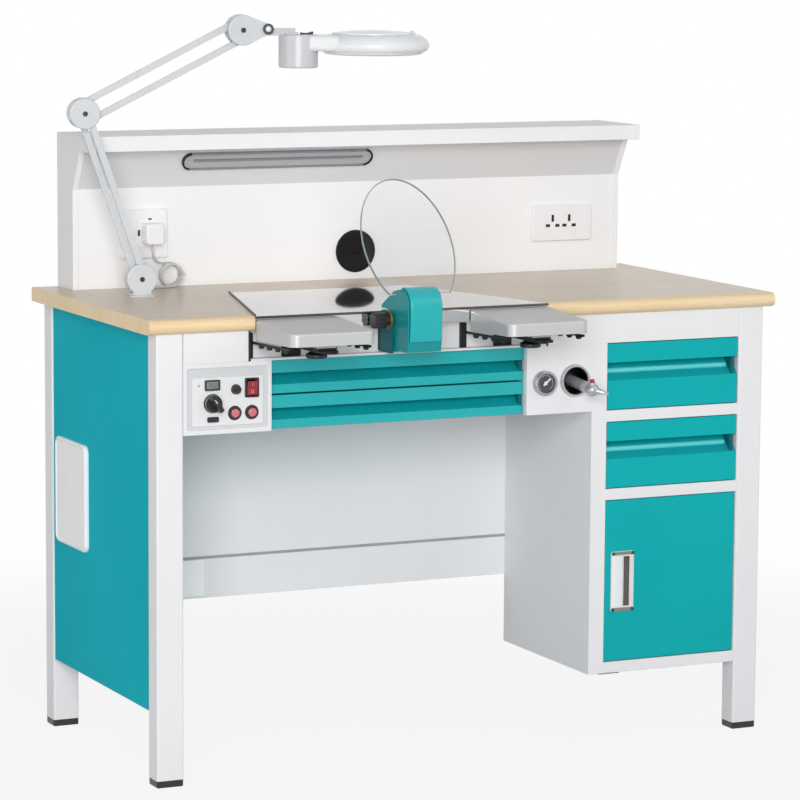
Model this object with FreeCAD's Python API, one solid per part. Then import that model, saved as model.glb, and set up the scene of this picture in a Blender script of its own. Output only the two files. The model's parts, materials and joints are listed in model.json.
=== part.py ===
import FreeCAD, Part
import math
import os

V = FreeCAD.Vector
os.makedirs("parts", exist_ok=True)

# Driving sizes, millimetres. X runs along the bench, Y from front to back, Z up from the floor.
top_length = 1200.0
top_depth = 580.0
top_height = 795.0
top_thickness = 25.0
rest_reach = 153.0          # hand rests stand this far out of the table's front edge
band_depth = 20.0           # round beech lipping on the front edge
end_band = 3.0              # beech lipping on the ends

# Legs and panels
leg_width = 48.0
leg_depth = 40.0
leg_wall = 2.0
leg_round = 3.0
side_inset = 17.0
front_inset = 13.0
rear_inset = 17.0
foot_height = 12.0
foot_plug = 15.0
foot_round = 4.0
rail_width = 30.0
rail_height = 25.0
panel_setback = 3.0
panel_sheet = 2.0
panel_bottom = 125.0
cover_width = 153.0
cover_height = 190.0
cover_bottom = 347.0
cover_rear_gap = 24.0       # from the cover to the rear leg
cover_round = 14.0
cover_thick = 6.0
cover_lap = 9.0
sheet = 1.5
slide_gap = 0.3             # between faces that move past each other

# Knee space and rear compartment
knee_setback = 345.0        # from the table's front edge
floor_height = 325.0
low_rail_height = 73.0
low_rail_lip = 30.0
splice_length = 185.0
splice_height = 66.0
splice_thick = 2.0
rear_setback = 6.0
vent_count = 9
vent_length = 120.0
vent_slot = 5.0
vent_pitch = 14.0
unit_width = 300.0
unit_height = 290.0
unit_gap = 40.0             # from the knee panel to the extractor
tower_size = 90.0

# Front fascia with the recess under the work plate
work_x = -134.0
fascia_height = 52.0
recess_width = 567.0
recess_depth = 15.0
rim = 4.0
plate_front = 552.0
plate_rear = 348.0
plate_depth = 362.0
plate_sheet = 2.0
plate_lip = 24.0
plate_gap = 0.3

# Cabinet and drawers
cabinet_width = 298.0
stile = 30.0
cross_rail = 20.0
frame_depth = 20.0
drawer_height = 120.0
door_height = 292.0
reveal = 1.5
front_setback = 1.0
drawer_depth = 285.0
drawer_wall_height = 74.0
drawer_flat = 34.0
drawer_pull = 32.0
drawer_pull_depth = 30.0
front_return = 32.0
ledge_sheet = 2.0
ledge_lap = 16.0
ledge_upright = 22.0
door_thick = 18.0
door_round = 3.0
hinge_inset = 5.5
hinge_pin = 2.5
hinge_pin_length = 8.0
pin_fit = 0.06
handle_width = 46.0
handle_length = 108.0
handle_rise = 2.5
handle_round = 4.0
handle_edge = 1.0
handle_inset = 13.0
handle_mid = 290.5          # height of the handle's middle
handle_leaf = 25.0          # leaf that the fingers hook behind
handle_mouth = 12.0         # open strip beside the leaf
cup_depth = 12.0
cup_wall = 1.5
cup_border = 4.0            # flange round the cup

# Control box, trays and gauge box
control_width = 160.0
gauge_width = 129.0
box_height = 120.0
box_depth = 200.0
tray_setback = 12.0
tray_depth = 300.0
tray_wall_height = 34.0
tray_flat = 22.0
tray_pull = 20.0
tray_pull_depth = 22.0
tray_return = 24.0
margin_side = 7.0
margin_end = 8.0
margin_depth = 2.5
faceplate_width = 128.0
faceplate_height = 82.0
faceplate_drop = 6.5        # faceplate's middle below the box's middle
faceplate_thick = 2.0

# Places of the controls on the faceplate: across from the box's middle, and up from it
display_at = (-28.0, 23.0)
display_size = (27.0, 18.0)
dial_at = (-27.0, -8.0)
dial_skirt = 16.5
dial_body = 13.5
dial_skirt_height = 5.0
dial_height = 27.0
dial_shaft = 3.0
fuse_at = (15.0, 14.0)
fuse_radius = 9.0
fuse_height = 8.0
rocker_at = (43.5, 16.0)
rocker_size = (25.0, 33.0)
rocker_cap = (18.0, 26.0)
rocker_rise = 4.0
rocker_slope = 2.5
rocker_room = 0.6           # from the cap to its bezel, at each side
rocker_pivot = 1.5          # axle in front of the faceplate
rocker_pin = 1.0
rocker_pin_reach = 1.2
rocker_tilt = 7.0           # the switch is stored in its off position
button_left_at = (13.0, -26.0)
button_right_at = (44.0, -26.0)
button_ring = 12.5
button_cap = 7.5
button_bore = 8.0
button_sleeve = 10.5
button_depth = 10.0         # sleeve behind the faceplate
button_rise = 4.5
socket_at = (-27.0, -35.0)
socket_size = (20.0, 9.0)
socket_hole = 1.6
insert_rise = 3.0

# Gauge and air gun: places across and up from the middle of their box
gauge_at = (-31.5, -4.0)
gauge_radius = 21.5
gauge_can = 18.5
gauge_rise = 12.0
gauge_depth = 22.0
gauge_edge = 2.0
gauge_sink = 4.0            # dial behind the rim
holder_at = (30.0, -3.0)
holder_flange = 29.0
holder_bore = 21.5
holder_wall = 2.5
holder_rise = 6.0
holder_edge = 1.5
holder_flare = 4.0
holder_depth = 55.0
gun_barrel = 10.0
gun_collar = 21.2
gun_collar_at = 28.0
gun_head = 11.5
gun_reach = 42.0
gun_side = 12.0
gun_drop = 12.0
nozzle_radius = 2.6
nozzle_end = (34.0, 62.0, -18.0)
trigger_radius = 4.0
trigger_rise = 5.0
trigger_travel = 2.0

# Upstand behind the table top
upstand_width = 1100.0
upstand_foot = 77.0
upstand_hood = 158.0
upstand_throat = 113.0
splash_height = 179.0
cove_height = 247.0
hood_height = 277.0
hood_face = 27.0
end_plate = 10.0
end_proud = 2.0
light_x = -164.0
light_length = 375.0
light_width = 34.0
light_rise = 48.0           # middle of the light above the cove's foot
light_rim = 3.5
light_thick = 5.0
grommet_x = 2.0
grommet_height = 51.0
grommet_radius = 39.0
grommet_thick = 5.0
single_inset = 135.0        # from the upstand's left end
single_size = 88.0
single_height = 97.0
double_inset = 122.0        # from the upstand's right end
double_length = 126.0
double_size = 68.0
double_height = 91.0
socket_thick = 8.0
socket_round = 4.0
socket_edge = 2.0
socket_lap = 12.0           # plate over the edge of its hole
outlet_places = (-20.0, 15.0)   # middles of the two pin patterns from the plate's middle
pin_slot = 5.5
pin_slot_span = (2.0, 15.0)
pin_side = 10.0
pin_side_width = 9.0
pin_side_span = (-8.0, -2.5)
pin_depth = 4.0

# Suction head, glass shield and hand rests
head_width = 63.0
head_wall = 3.0
head_reach = 80.0
head_top = 41.0
head_bottom = 66.0
head_lap = 27.0
head_clear = 2.5
head_back = 7.0             # from the table's front edge to the head's rear wall
head_brow = 24.0            # height of the round brow
head_crown = 29.0           # its run
brow_bulge = (8.0, 7.5)     # the brow's middle, back from the front and down from the top
slope_start = (22.0, 6.0)   # where the back slope starts: from the edge, and down from the top
head_lip = 8.0
head_chin = 19.0
chin_step = (3.0, 2.0)
crown_round = 2.5
mouth_inset = 9.0
mouth_rise = 12.0
mouth_back = 6.0
shelf_rise = 14.0
shelf_height = 30.0
cover_inset = 4.0
cover_skin = 2.0
axle_reach = 16.0
axle_drop = 14.0
axle_radius = 5.0
ear_thick = 5.0
ear_gap = 1.0
ear_height = 44.0
ear_head = 9.0              # half the ear's width round the axle
ear_clear = 3.0             # below the work plate's lip
knob_radius = 14.0
knob_length = 22.0
port_drop = 46.0
port_radius = 14.0
duct_radius = 18.0
duct_wall = 2.0
duct_clear = 14.0
glass_half_width = 83.0
glass_half_height = 126.0
glass_thick = 4.0
glass_lean = 32.0
glass_cut = 92.0            # chord that stands in the slot, below the glass's middle
glass_rise = 110.0
glass_back = 2.0
glass_side = 6.0            # right of the suction head's middle
rest_width = 152.0
rest_gap = 3.0
rest_rear_top = 5.5
rest_front_top = 14.0
rest_rear_bottom = 41.0
rest_front_bottom = 36.0
rest_round = 15.0
rest_edge = 4.0
rack_inset = 1.0            # from the hand rest's side to the toothed rack under it
rack_thick = 5.0
rack_gap = 3.4              # below the hand rest, for its whole travel
rack_height = 4.0
rack_reach = 136.0
rack_pitch = 34.0
tooth_radius = 8.0
tooth_depth = 5.0
post_depth = 8.0
post_width = 10.0           # from the rack's middle outwards
post_clear = 5.0            # below the table
arm_drop = 47.0
arm_thick = 4.0
arm_width = 34.0
arm_end = 138.0
arm_slot = 9.0
rest_travel = 40.0
clamp_reach = 80.0
clamp_radius = 18.0
clamp_height = 13.0
clamp_stem = 4.0

# Task lamp
lamp_inset = 129.2          # from the table's left end
lamp_back = 205.0
arm_turn = 10.0
base_flange = 46.0
base_thick = 2.5
turntable = 2.5             # disc that the foot turns on
sleeve_radius = 11.0
pin_radius = 6.0
base_rise = 30.3
joint_radius = 27.0
joint_cover = 3.5
pivot_half = 18.0
bar_width = 11.0
bar_thick = 9.0
layer = 10.0
bar_pin = 4.0
lower_length = 307.0
lower_lean = 18.95
upper_length = 315.5
upper_rise = 27.1
tilt_reach = 44.0
tilt_radius = 9.0
tilt_knob = 8.5
tilt_knob_rise = 4.0
tilt_knob_dish = 5.0
knurl_count = 16
knurl_radius = 1.0
stem_thick = 6.0
can_reach = 103.0           # from the head joint to the middle of the lamp's round housing
can_radius = 35.0
can_height = 58.5
can_drop = 10.0
dish_radius = 100.0
dish_reach = 136.5          # from the housing's middle to the dish's middle
dish_height = 30.0
dish_drop = 29.8
neck_root = 25.0            # half the neck's width at the housing
neck_spread = 60.0          # and where it meets the dish
neck_meet = 78.0            # that place, from the dish's middle
neck_round = 9.0
lens_radius = 60.0
seat_fit = 0.05
lens_crown = 5.0
lens_edge = 3.0
lid_inset = 27.0            # from the dish's rim to its flat top
lid_height = 4.5
lid_skin = 1.8
lid_knuckle = 2.5
switch_reach = 15.0         # from the housing's middle
switch_half = 11.0
switch_width = 12.0
switch_room = 1.0
switch_axle = 3.0           # depth of the switch's axle
switch_pin = 1.5
switch_pin_reach = 2.2

# Lamp lead
cord_radius = 2.2
plug_side = 9.0             # right of the left outlet's middle
plug_width = 34.0
plug_height = 38.0
plug_depth = 30.0
plug_mid = 98.0
coil_side = 35.0            # right of the plug
coil_loop = 20.5
coil_pitch = 5.0
coil_turns = 3
coil_stand = 9.0           # from the coil to the splash
gland_side = 14.0           # right of the lamp's foot
gland_length = 14.0
gland_radius = 4.5

# Places worked out from the driving sizes
rear_y = (top_depth + rest_reach) / 2
front_y = rear_y - top_depth
face_y = front_y + front_inset
half_top = top_length / 2
underside = top_height - top_thickness
leg_outer = half_top - side_inset
leg_inner = leg_outer - leg_width
rear_leg_y = rear_y - rear_inset
rail_inner = leg_outer - panel_setback - panel_sheet - rail_width
knee_y = front_y + knee_setback
fascia_bottom = underside - fascia_height
cabinet_left = leg_inner - cabinet_width
opening_left = cabinet_left + stile
opening_right = leg_inner - panel_sheet
cabinet_bottom = fascia_bottom - 2 * drawer_height - 2 * cross_rail - door_height - cross_rail
box_bottom = fascia_bottom - box_height
tray_left = -leg_inner + control_width
tray_right = cabinet_left - gauge_width
recess_left = work_x - recess_width / 2
recess_right = work_x + recess_width / 2
recess_y = face_y + recess_depth
rear_panel_y = rear_leg_y - rear_setback
splash_y = rear_y - upstand_foot
single_x = single_inset - upstand_width / 2
double_x = upstand_width / 2 - double_inset
lamp_x = lamp_inset - half_top
plug_x = single_x + plug_side
coil_x = plug_x + coil_side
gland_x = lamp_x + gland_side


def box(x0, x1, y0, y1, z0, z1):
    return Part.makeBox(x1 - x0, y1 - y0, z1 - z0, V(x0, y0, z0))


def rod(start, direction, radius, length):
    return Part.makeCylinder(radius, length, start, direction)


def rod_between(a, b, radius):
    return Part.makeCylinder(radius, (b - a).Length, a, b - a)


def save(name, *solids):
    shape = solids[0] if len(solids) == 1 else Part.makeCompound(list(solids))
    shape.exportStep("parts/" + name + ".step")


def along(shape, axis, size=0.0):
    """Edges that run along one axis and are longer than a size."""
    found = []
    for edge in shape.Edges:
        b = edge.BoundBox
        spans = {"x": b.XLength, "y": b.YLength, "z": b.ZLength}
        run = spans.pop(axis)
        if run > size and max(spans.values()) < 1e-6:
            found.append(edge)
    return found


def face_of(points):
    return Part.Face(Part.makePolygon(points + [points[0]]))


def folded(points, thickness, sweep):
    """Sheet metal folded along an open line of points, then drawn along a vector."""
    line = Part.makePolygon(points)
    return line.makeOffset2D(thickness, 2, True, True, False).extrude(sweep)


def rounded_plate(x0, x1, z0, z1, y0, y1, radius):
    plate = box(x0, x1, y0, y1, z0, z1)
    return plate.makeFillet(radius, along(plate, "y"))


def end_frame(side):
    """One pair of legs with the rails that join them."""
    def span(a, b):
        return sorted((side * a, side * b))

    x0, x1 = span(leg_inner, leg_outer)
    r0, r1 = span(rail_inner, rail_inner + rail_width)
    legs = []
    for y0 in (face_y, rear_leg_y - leg_depth):
        leg = box(x0, x1, y0, y0 + leg_depth, foot_height, underside)
        leg = leg.makeFillet(leg_round, along(leg, "z"))
        bore = box(x0 + leg_wall, x1 - leg_wall, y0 + leg_wall, y0 + leg_depth - leg_wall,
                   foot_height, underside - leg_wall)
        legs.append(leg.cut(bore))
    frame = legs[0].fuse(legs[1])
    for z0 in (panel_bottom, floor_height - rail_height, underside - rail_height):
        rail = box(r0, r1, face_y + leg_depth, rear_leg_y - leg_depth, z0, z0 + rail_height)
        frame = frame.fuse(rail)
    return frame.removeSplitter()


def foot_caps():
    caps = []
    for side in (-1, 1):
        for y0 in (face_y, rear_leg_y - leg_depth):
            x0, x1 = sorted((side * leg_inner, side * leg_outer))
            cap = box(x0, x1, y0, y0 + leg_depth, 0, foot_height)
            cap = cap.makeFillet(foot_round, along(cap, "z"))
            low = [e for e in cap.Edges if e.BoundBox.ZMax < 1e-6]
            cap = cap.makeFillet(foot_round / 2, low)
            inset = leg_wall + slide_gap
            plug = box(x0 + inset, x1 - inset, y0 + inset, y0 + leg_depth - inset,
                       foot_height - 1, foot_height + foot_plug)
            caps.append(cap.fuse(plug).removeSplitter())
    return caps


def plate_outline(grow):
    """Trapezoid of the work plate, wide at the front."""
    return [V(work_x - plate_front / 2 - grow, front_y, 0),
            V(work_x + plate_front / 2 + grow, front_y, 0),
            V(work_x + plate_rear / 2 + grow, front_y + plate_depth + grow, 0),
            V(work_x - plate_rear / 2 - grow, front_y + plate_depth + grow, 0)]


def tabletop():
    """Laminated board with a shallow pocket for the work plate and a hole for the lamp."""
    board = box(-half_top + end_band, half_top - end_band, front_y + band_depth, rear_y,
                underside, top_height)
    tongue = box(work_x - plate_front / 2, work_x + plate_front / 2, front_y + plate_sheet,
                 front_y + band_depth, underside, top_height)
    pocket = face_of(plate_outline(plate_gap)).extrude(V(0, 0, plate_sheet))
    pocket.translate(V(0, 0, top_height - plate_sheet))
    foot = V(lamp_x, rear_y - lamp_back, underside)
    hole = rod(foot, V(0, 0, 1), sleeve_radius + slide_gap, top_thickness)
    return board.fuse(tongue).cut(pocket).cut(hole).removeSplitter()


def edge_band():
    """Beech lipping: half-round on the front, square on both ends."""
    radius = top_thickness / 2
    flat = front_y + band_depth
    nose = front_y + radius
    bull = V(0, front_y, underside + radius)
    line = [Part.LineSegment(V(0, flat, top_height), V(0, nose, top_height)).toShape(),
            Part.Arc(V(0, nose, top_height), bull, V(0, nose, underside)).toShape(),
            Part.LineSegment(V(0, nose, underside), V(0, flat, underside)).toShape(),
            Part.LineSegment(V(0, flat, underside), V(0, flat, top_height)).toShape()]
    section = Part.Face(Part.Wire(line))
    bands = []
    for x0, x1 in ((-half_top, work_x - plate_front / 2 - plate_gap),
                   (work_x + plate_front / 2 + plate_gap, half_top)):
        band = section.extrude(V(x1 - x0, 0, 0))
        band.translate(V(x0, 0, 0))
        bands.append(band)
    for x0 in (-half_top, half_top - end_band):
        bands.append(box(x0, x0 + end_band, flat, rear_y, underside, top_height))
    return bands


def work_plate():
    """Polished sheet with its front edge folded down."""
    top = face_of(plate_outline(0)).extrude(V(0, 0, plate_sheet))
    top.translate(V(0, 0, top_height - plate_sheet))
    lip = box(work_x - plate_front / 2, work_x + plate_front / 2, front_y, front_y + plate_sheet,
              top_height - plate_lip, top_height)
    plate = top.fuse(lip).removeSplitter()
    front = [e for e in along(plate, "x", plate_rear) if e.BoundBox.YMax < front_y + 1e-6
             and e.BoundBox.ZMin > top_height - 1e-6]
    return plate.makeFillet(plate_sheet * 0.9, front)


def cover_place():
    rear = rear_leg_y - leg_depth - cover_rear_gap
    return rear - cover_width, rear, cover_bottom, cover_bottom + cover_height


def side_panels():
    """Flat sheets between the legs; the left one has an opening behind its cover."""
    panels = []
    for side in (-1, 1):
        outer = leg_outer - panel_setback
        x0, x1 = sorted((side * (outer - panel_sheet), side * outer))
        panel = box(x0, x1, face_y + leg_depth, rear_leg_y - leg_depth, panel_bottom, underside)
        if side < 0:
            y0, y1, z0, z1 = cover_place()
            window = box(x0, x1, y0 + cover_lap, y1 - cover_lap, z0 + cover_lap, z1 - cover_lap)
            panel = panel.cut(window.makeFillet(cover_round, along(window, "x")))
        panels.append(panel)
    return panels


def access_cover():
    """Moulded cover with rounded corners and a locating rim inside the opening."""
    y0, y1, z0, z1 = cover_place()
    x1 = -(leg_outer - panel_setback)
    plate = box(x1 - cover_thick, x1, y0, y1, z0, z1)
    plate = plate.makeFillet(cover_round, along(plate, "x"))
    outer = [e for e in plate.Edges if e.BoundBox.XMax < x1 - cover_thick + 1e-6]
    plate = plate.makeFillet(cover_thick / 3, outer)
    lap = cover_lap + slide_gap
    rim_block = box(x1 - 1, x1 + panel_sheet, y0 + lap, y1 - lap, z0 + lap, z1 - lap)
    rim_block = rim_block.makeFillet(cover_round, along(rim_block, "x"))
    return plate.fuse(rim_block).removeSplitter()


def duct_hole(y):
    """Hole for the suction duct in a sheet at a depth."""
    start = V(work_x, y - sheet, top_height - port_drop)
    return rod(start, V(0, 1, 0), duct_radius + slide_gap, 3 * sheet)


def knee_panel():
    """Upright sheet behind the knee space, folded back into the compartment's floor."""
    bend = folded([V(-rail_inner, knee_y, underside), V(-rail_inner, knee_y, floor_height),
                   V(-rail_inner, rear_panel_y, floor_height)], -sheet, V(rail_inner + cabinet_left, 0, 0))
    corner = box(-rail_inner, -leg_inner, rear_leg_y - leg_depth, rear_leg_y, floor_height, underside)
    tail = box(cabinet_left, leg_inner, knee_y, rear_panel_y, floor_height, floor_height + sheet)
    return bend.cut(corner).fuse(tail).cut(duct_hole(knee_y)).removeSplitter()


def lower_rail():
    """Channel below the knee panel with a splice plate at its left end."""
    low = floor_height - low_rail_height
    rail = folded([V(-rail_inner, knee_y + low_rail_lip, floor_height), V(-rail_inner, knee_y, floor_height),
                   V(-rail_inner, knee_y, low), V(-rail_inner, knee_y + low_rail_lip, low)],
                  -sheet, V(rail_inner + cabinet_left, 0, 0))
    mid = (floor_height + low) / 2
    splice = box(-rail_inner, -rail_inner + splice_length, knee_y - splice_thick, knee_y,
                 mid - splice_height / 2, mid + splice_height / 2)
    return rail, splice.makeFillet(splice_thick * 2, along(splice, "y"))


def rear_panel():
    """Back sheet between the rear legs with a bank of vent slots."""
    panel = box(-leg_inner, leg_inner, rear_panel_y, rear_panel_y + sheet, floor_height, underside)
    low = (floor_height + underside) / 2 - vent_pitch * (vent_count - 1) / 2
    for i in range(vent_count):
        z = low + i * vent_pitch
        slot = box(work_x - vent_length / 2, work_x + vent_length / 2, rear_panel_y, rear_panel_y + sheet,
                   z - vent_slot / 2, z + vent_slot / 2)
        panel = panel.cut(slot)
    return panel


def front_fascia():
    """Beam under the table front, stepped back to leave the recess below the work plate."""
    fascia = folded([V(-leg_inner, face_y, fascia_bottom), V(recess_left, face_y, fascia_bottom),
                     V(recess_left, recess_y, fascia_bottom), V(recess_right, recess_y, fascia_bottom),
                     V(recess_right, face_y, fascia_bottom), V(leg_inner, face_y, fascia_bottom)],
                    -sheet, V(0, 0, fascia_height))
    return fascia.cut(duct_hole(recess_y))


def recess_rim():
    """Dark lining on both ends and the foot of the recess."""
    outer = box(recess_left, recess_right, face_y, recess_y, fascia_bottom, underside)
    inner = box(recess_left + rim, recess_right - rim, face_y, recess_y, fascia_bottom + rim, underside)
    return outer.cut(inner)


def levels():
    """Heights of the two drawers and the door, from the top down."""
    upper = fascia_bottom - drawer_height
    lower = upper - cross_rail - drawer_height
    door = lower - cross_rail - door_height
    return upper, lower, door


def hinge_point():
    return opening_right - reveal - hinge_inset, face_y + front_setback + hinge_inset


def cabinet_shell():
    """Welded carcass: sides, back, bottom, left stile and cross rails."""
    back = knee_y
    front = face_y
    wall = cabinet_left + panel_sheet
    left = box(cabinet_left, wall, front, back, cabinet_bottom, underside)
    left = left.cut(box(cabinet_left, wall, front, front + sheet, fascia_bottom, underside))
    right = box(opening_right, leg_inner, front, back, cabinet_bottom, fascia_bottom)
    rear = box(cabinet_left, leg_inner, back - panel_sheet, back, cabinet_bottom, underside)
    floor = box(cabinet_left, leg_inner, front, back, cabinet_bottom, cabinet_bottom + panel_sheet)
    upright = box(cabinet_left, opening_left, front, front + frame_depth, cabinet_bottom, fascia_bottom)
    shell = left.fuse([right, rear, floor, upright])
    upper, lower, door = levels()
    for z0 in (upper - cross_rail, lower - cross_rail, cabinet_bottom):
        shell = shell.fuse(box(cabinet_left, leg_inner, front, front + frame_depth, z0, z0 + cross_rail))
    x, y = hinge_point()
    low = door + reveal - hinge_pin_length - slide_gap
    high = door + door_height - reveal
    for z0 in (low, high):
        shell = shell.cut(rod(V(x, y, z0), V(0, 0, 1), hinge_pin + pin_fit, hinge_pin_length + slide_gap))
    return shell.removeSplitter()


def pull_front(x0, x1, y, z0, z1, flat, pull, depth, back):
    """Folded front with a finger channel across it: in under the upper flat, out along a slope."""
    lip = z1 - flat
    line = [V(x0, y + back, z1), V(x0, y, z1), V(x0, y, lip), V(x0, y + depth, lip - sheet),
            V(x0, y, lip - pull), V(x0, y, z0), V(x0, y + back, z0)]
    return folded(line, -sheet, V(x1 - x0, 0, 0))


def pan(x0, x1, y0, y1, z0, z1):
    """Open-topped sheet pan."""
    outer = box(x0, x1, y0, y1, z0, z1)
    return outer.cut(box(x0 + sheet, x1 - sheet, y0 + sheet, y1 - sheet, z0 + sheet, z1))


def drawer(z0):
    """Cabinet drawer: folded front with the pan welded behind it."""
    y = face_y + front_setback
    low = z0 + reveal
    front = pull_front(opening_left + reveal, opening_right - reveal, y, low, z0 + drawer_height - reveal,
                       drawer_flat, drawer_pull, drawer_pull_depth, front_return)
    x0, x1 = pan_span(opening_left, opening_right)
    tray = pan(x0, x1, y + front_return, y + front_return + drawer_depth, low, low + drawer_wall_height)
    web = box(x0, x1, y + front_return - sheet, y + front_return + sheet, low, z0 + drawer_height - reveal)
    return front.fuse(tray).fuse(web).removeSplitter()


def pan_span(left, right):
    return left + ledge_lap / 2, right - ledge_lap / 2


def tray(z0, height):
    """Slim pull-out tray under the work plate."""
    y = face_y + tray_setback
    low = z0 + reveal
    front = pull_front(tray_left + reveal, tray_right - reveal, y, low, z0 + height - reveal,
                       tray_flat, tray_pull, tray_pull_depth, tray_return)
    x0, x1 = pan_span(tray_left, tray_right)
    dish = pan(x0, x1, y + tray_return, y + tray_depth, low, low + tray_wall_height)
    web = box(x0, x1, y + tray_return - sheet, y + tray_return + sheet, low, z0 + height - reveal)
    return front.fuse(dish).fuse(web).removeSplitter()


def drawer_runners():
    """Angle ledges that carry the drawers and trays along both sides."""
    ledges = []
    upper, lower, door = levels()
    start = face_y + front_setback + front_return + sheet
    for z0 in (upper, lower):
        top = z0 + reveal
        for x0, x1, side in ((cabinet_left + panel_sheet, opening_left + ledge_lap, 0),
                             (opening_right - ledge_lap, opening_right, 1)):
            foot = box(x0, x1, start, knee_y - panel_sheet, top - ledge_sheet, top)
            w0 = x1 - ledge_sheet if side else x0
            wall = box(w0, w0 + ledge_sheet, start, knee_y - panel_sheet, top, top + ledge_upright)
            ledges.append(foot.fuse(wall).removeSplitter())
    start = face_y + tray_setback + tray_return + sheet
    half = box_height / 2
    for z0 in (box_bottom + half, box_bottom):
        top = z0 + reveal
        for x0, x1, side in ((tray_left, tray_left + ledge_lap, 0), (tray_right - ledge_lap, tray_right, 1)):
            foot = box(x0, x1, start, face_y + box_depth, top - ledge_sheet, top)
            w0 = x1 - ledge_sheet if side else x0
            wall = box(w0, w0 + ledge_sheet, start, face_y + box_depth, top, top + ledge_upright)
            ledges.append(foot.fuse(wall).removeSplitter())
    return ledges


def cabinet_door():
    """Folded door pan with a pivot pin at the top and foot of its right edge."""
    z0 = levels()[2] + reveal
    z1 = levels()[2] + door_height - reveal
    x0 = opening_left + reveal
    x1 = opening_right - reveal
    y = face_y + front_setback
    door = box(x0, x1, y, y + door_thick, z0, z1)
    door = door.makeFillet(door_round, [e for e in along(door, "z") if e.BoundBox.YMax < y + 1e-6])
    rear = y + door_thick
    hollow = box(x0 + door_thick, x1 - door_thick, y + sheet, rear, z0 + door_thick, z1 - door_thick)
    gap = slide_gap
    c0, c1, low, high = cup_place()
    seat = box(c0 - gap, c1 + gap, y, y + cup_depth + gap, low - gap, high + gap)
    door = door.cut(hollow).cut(seat)
    hx, hy = hinge_point()
    for start, way in ((z1, 1), (z0, -1)):
        door = door.fuse(rod(V(hx, hy, start), V(0, 0, way), hinge_pin, hinge_pin_length))
    return door.removeSplitter()


def cup_place():
    """Outer sizes of the handle's cup, sunk in the door."""
    x0 = opening_left + handle_inset + cup_border
    x1 = opening_left + handle_inset + handle_width - cup_border
    half = handle_length / 2 - 2 * cup_border
    return x0, x1, handle_mid - half, handle_mid + half


def door_handle():
    """Flush pull: flange on the door, a cup sunk behind it and a leaf that half covers the cup."""
    x0 = opening_left + handle_inset
    y = face_y + front_setback
    half = handle_length / 2
    flange = rounded_plate(x0, x0 + handle_width, handle_mid - half, handle_mid + half, y - handle_rise, y,
                           handle_round)
    outer = [e for e in flange.Edges if e.BoundBox.YMax < y - handle_rise + 1e-6]
    flange = flange.makeFillet(handle_edge, outer)
    c0, c1, low, high = cup_place()
    cup = box(c0, c1, y, y + cup_depth, low, high)
    room = box(c0 + cup_wall, c1 - cup_wall, y, y + cup_depth - cup_wall, low + cup_wall, high - cup_wall)
    mouth = box(x0 + handle_leaf, x0 + handle_leaf + handle_mouth, y - handle_rise, y, low + cup_wall,
                high - cup_wall)
    return flange.fuse(cup).cut(room).cut(mouth).removeSplitter()


def control_mid():
    return -leg_inner + control_width / 2, fascia_bottom - box_height / 2


def control_point(at):
    x, z = control_mid()
    return x + at[0], z + at[1]


def plate_y():
    return face_y + margin_depth - faceplate_thick


def punch(shape, at, radius):
    x, z = control_point(at)
    return shape.cut(rod(V(x, face_y - margin_depth, z), V(0, 1, 0), radius, 4 * margin_depth + sheet))


def pierce(shape, at, size):
    x, z = control_point(at)
    return shape.cut(box(x - size[0] / 2, x + size[0] / 2, face_y - margin_depth, face_y + 4 * margin_depth,
                         z - size[1] / 2, z + size[1] / 2))


def sheet_box(x0, x1, z0, z1):
    """Closed box of folded sheet with a thicker front."""
    shell = box(x0, x1, face_y, face_y + box_depth, z0, z1)
    front = margin_depth + sheet
    room = box(x0 + sheet, x1 - sheet, face_y + front, face_y + box_depth - sheet, z0 + sheet, z1 - sheet)
    return shell.cut(room)


def control_box():
    """Control housing with a sunk margin round its faceplate."""
    x, z = control_mid()
    shell = sheet_box(-leg_inner, tray_left, box_bottom, fascia_bottom)
    sunk = rounded_plate(-leg_inner + margin_side, tray_left - margin_side, box_bottom + margin_end,
                         fascia_bottom - margin_end, face_y, face_y + margin_depth, margin_side / 2)
    mid = z - faceplate_drop + sheet
    plate = rounded_plate(x - faceplate_width / 2, x + faceplate_width / 2, mid - faceplate_height / 2,
                          mid + faceplate_height / 2, plate_y(), face_y + margin_depth, margin_side / 2)
    shell = shell.cut(sunk)
    parts = []
    for piece in (shell, plate):
        piece = punch(piece, dial_at, dial_shaft + pin_fit)
        piece = pierce(piece, rocker_at, (rocker_cap[0] + 3, rocker_cap[1] + 3))
        for at in (button_left_at, button_right_at):
            piece = punch(piece, at, button_sleeve + slide_gap)
        parts.append(piece)
    return parts


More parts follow.
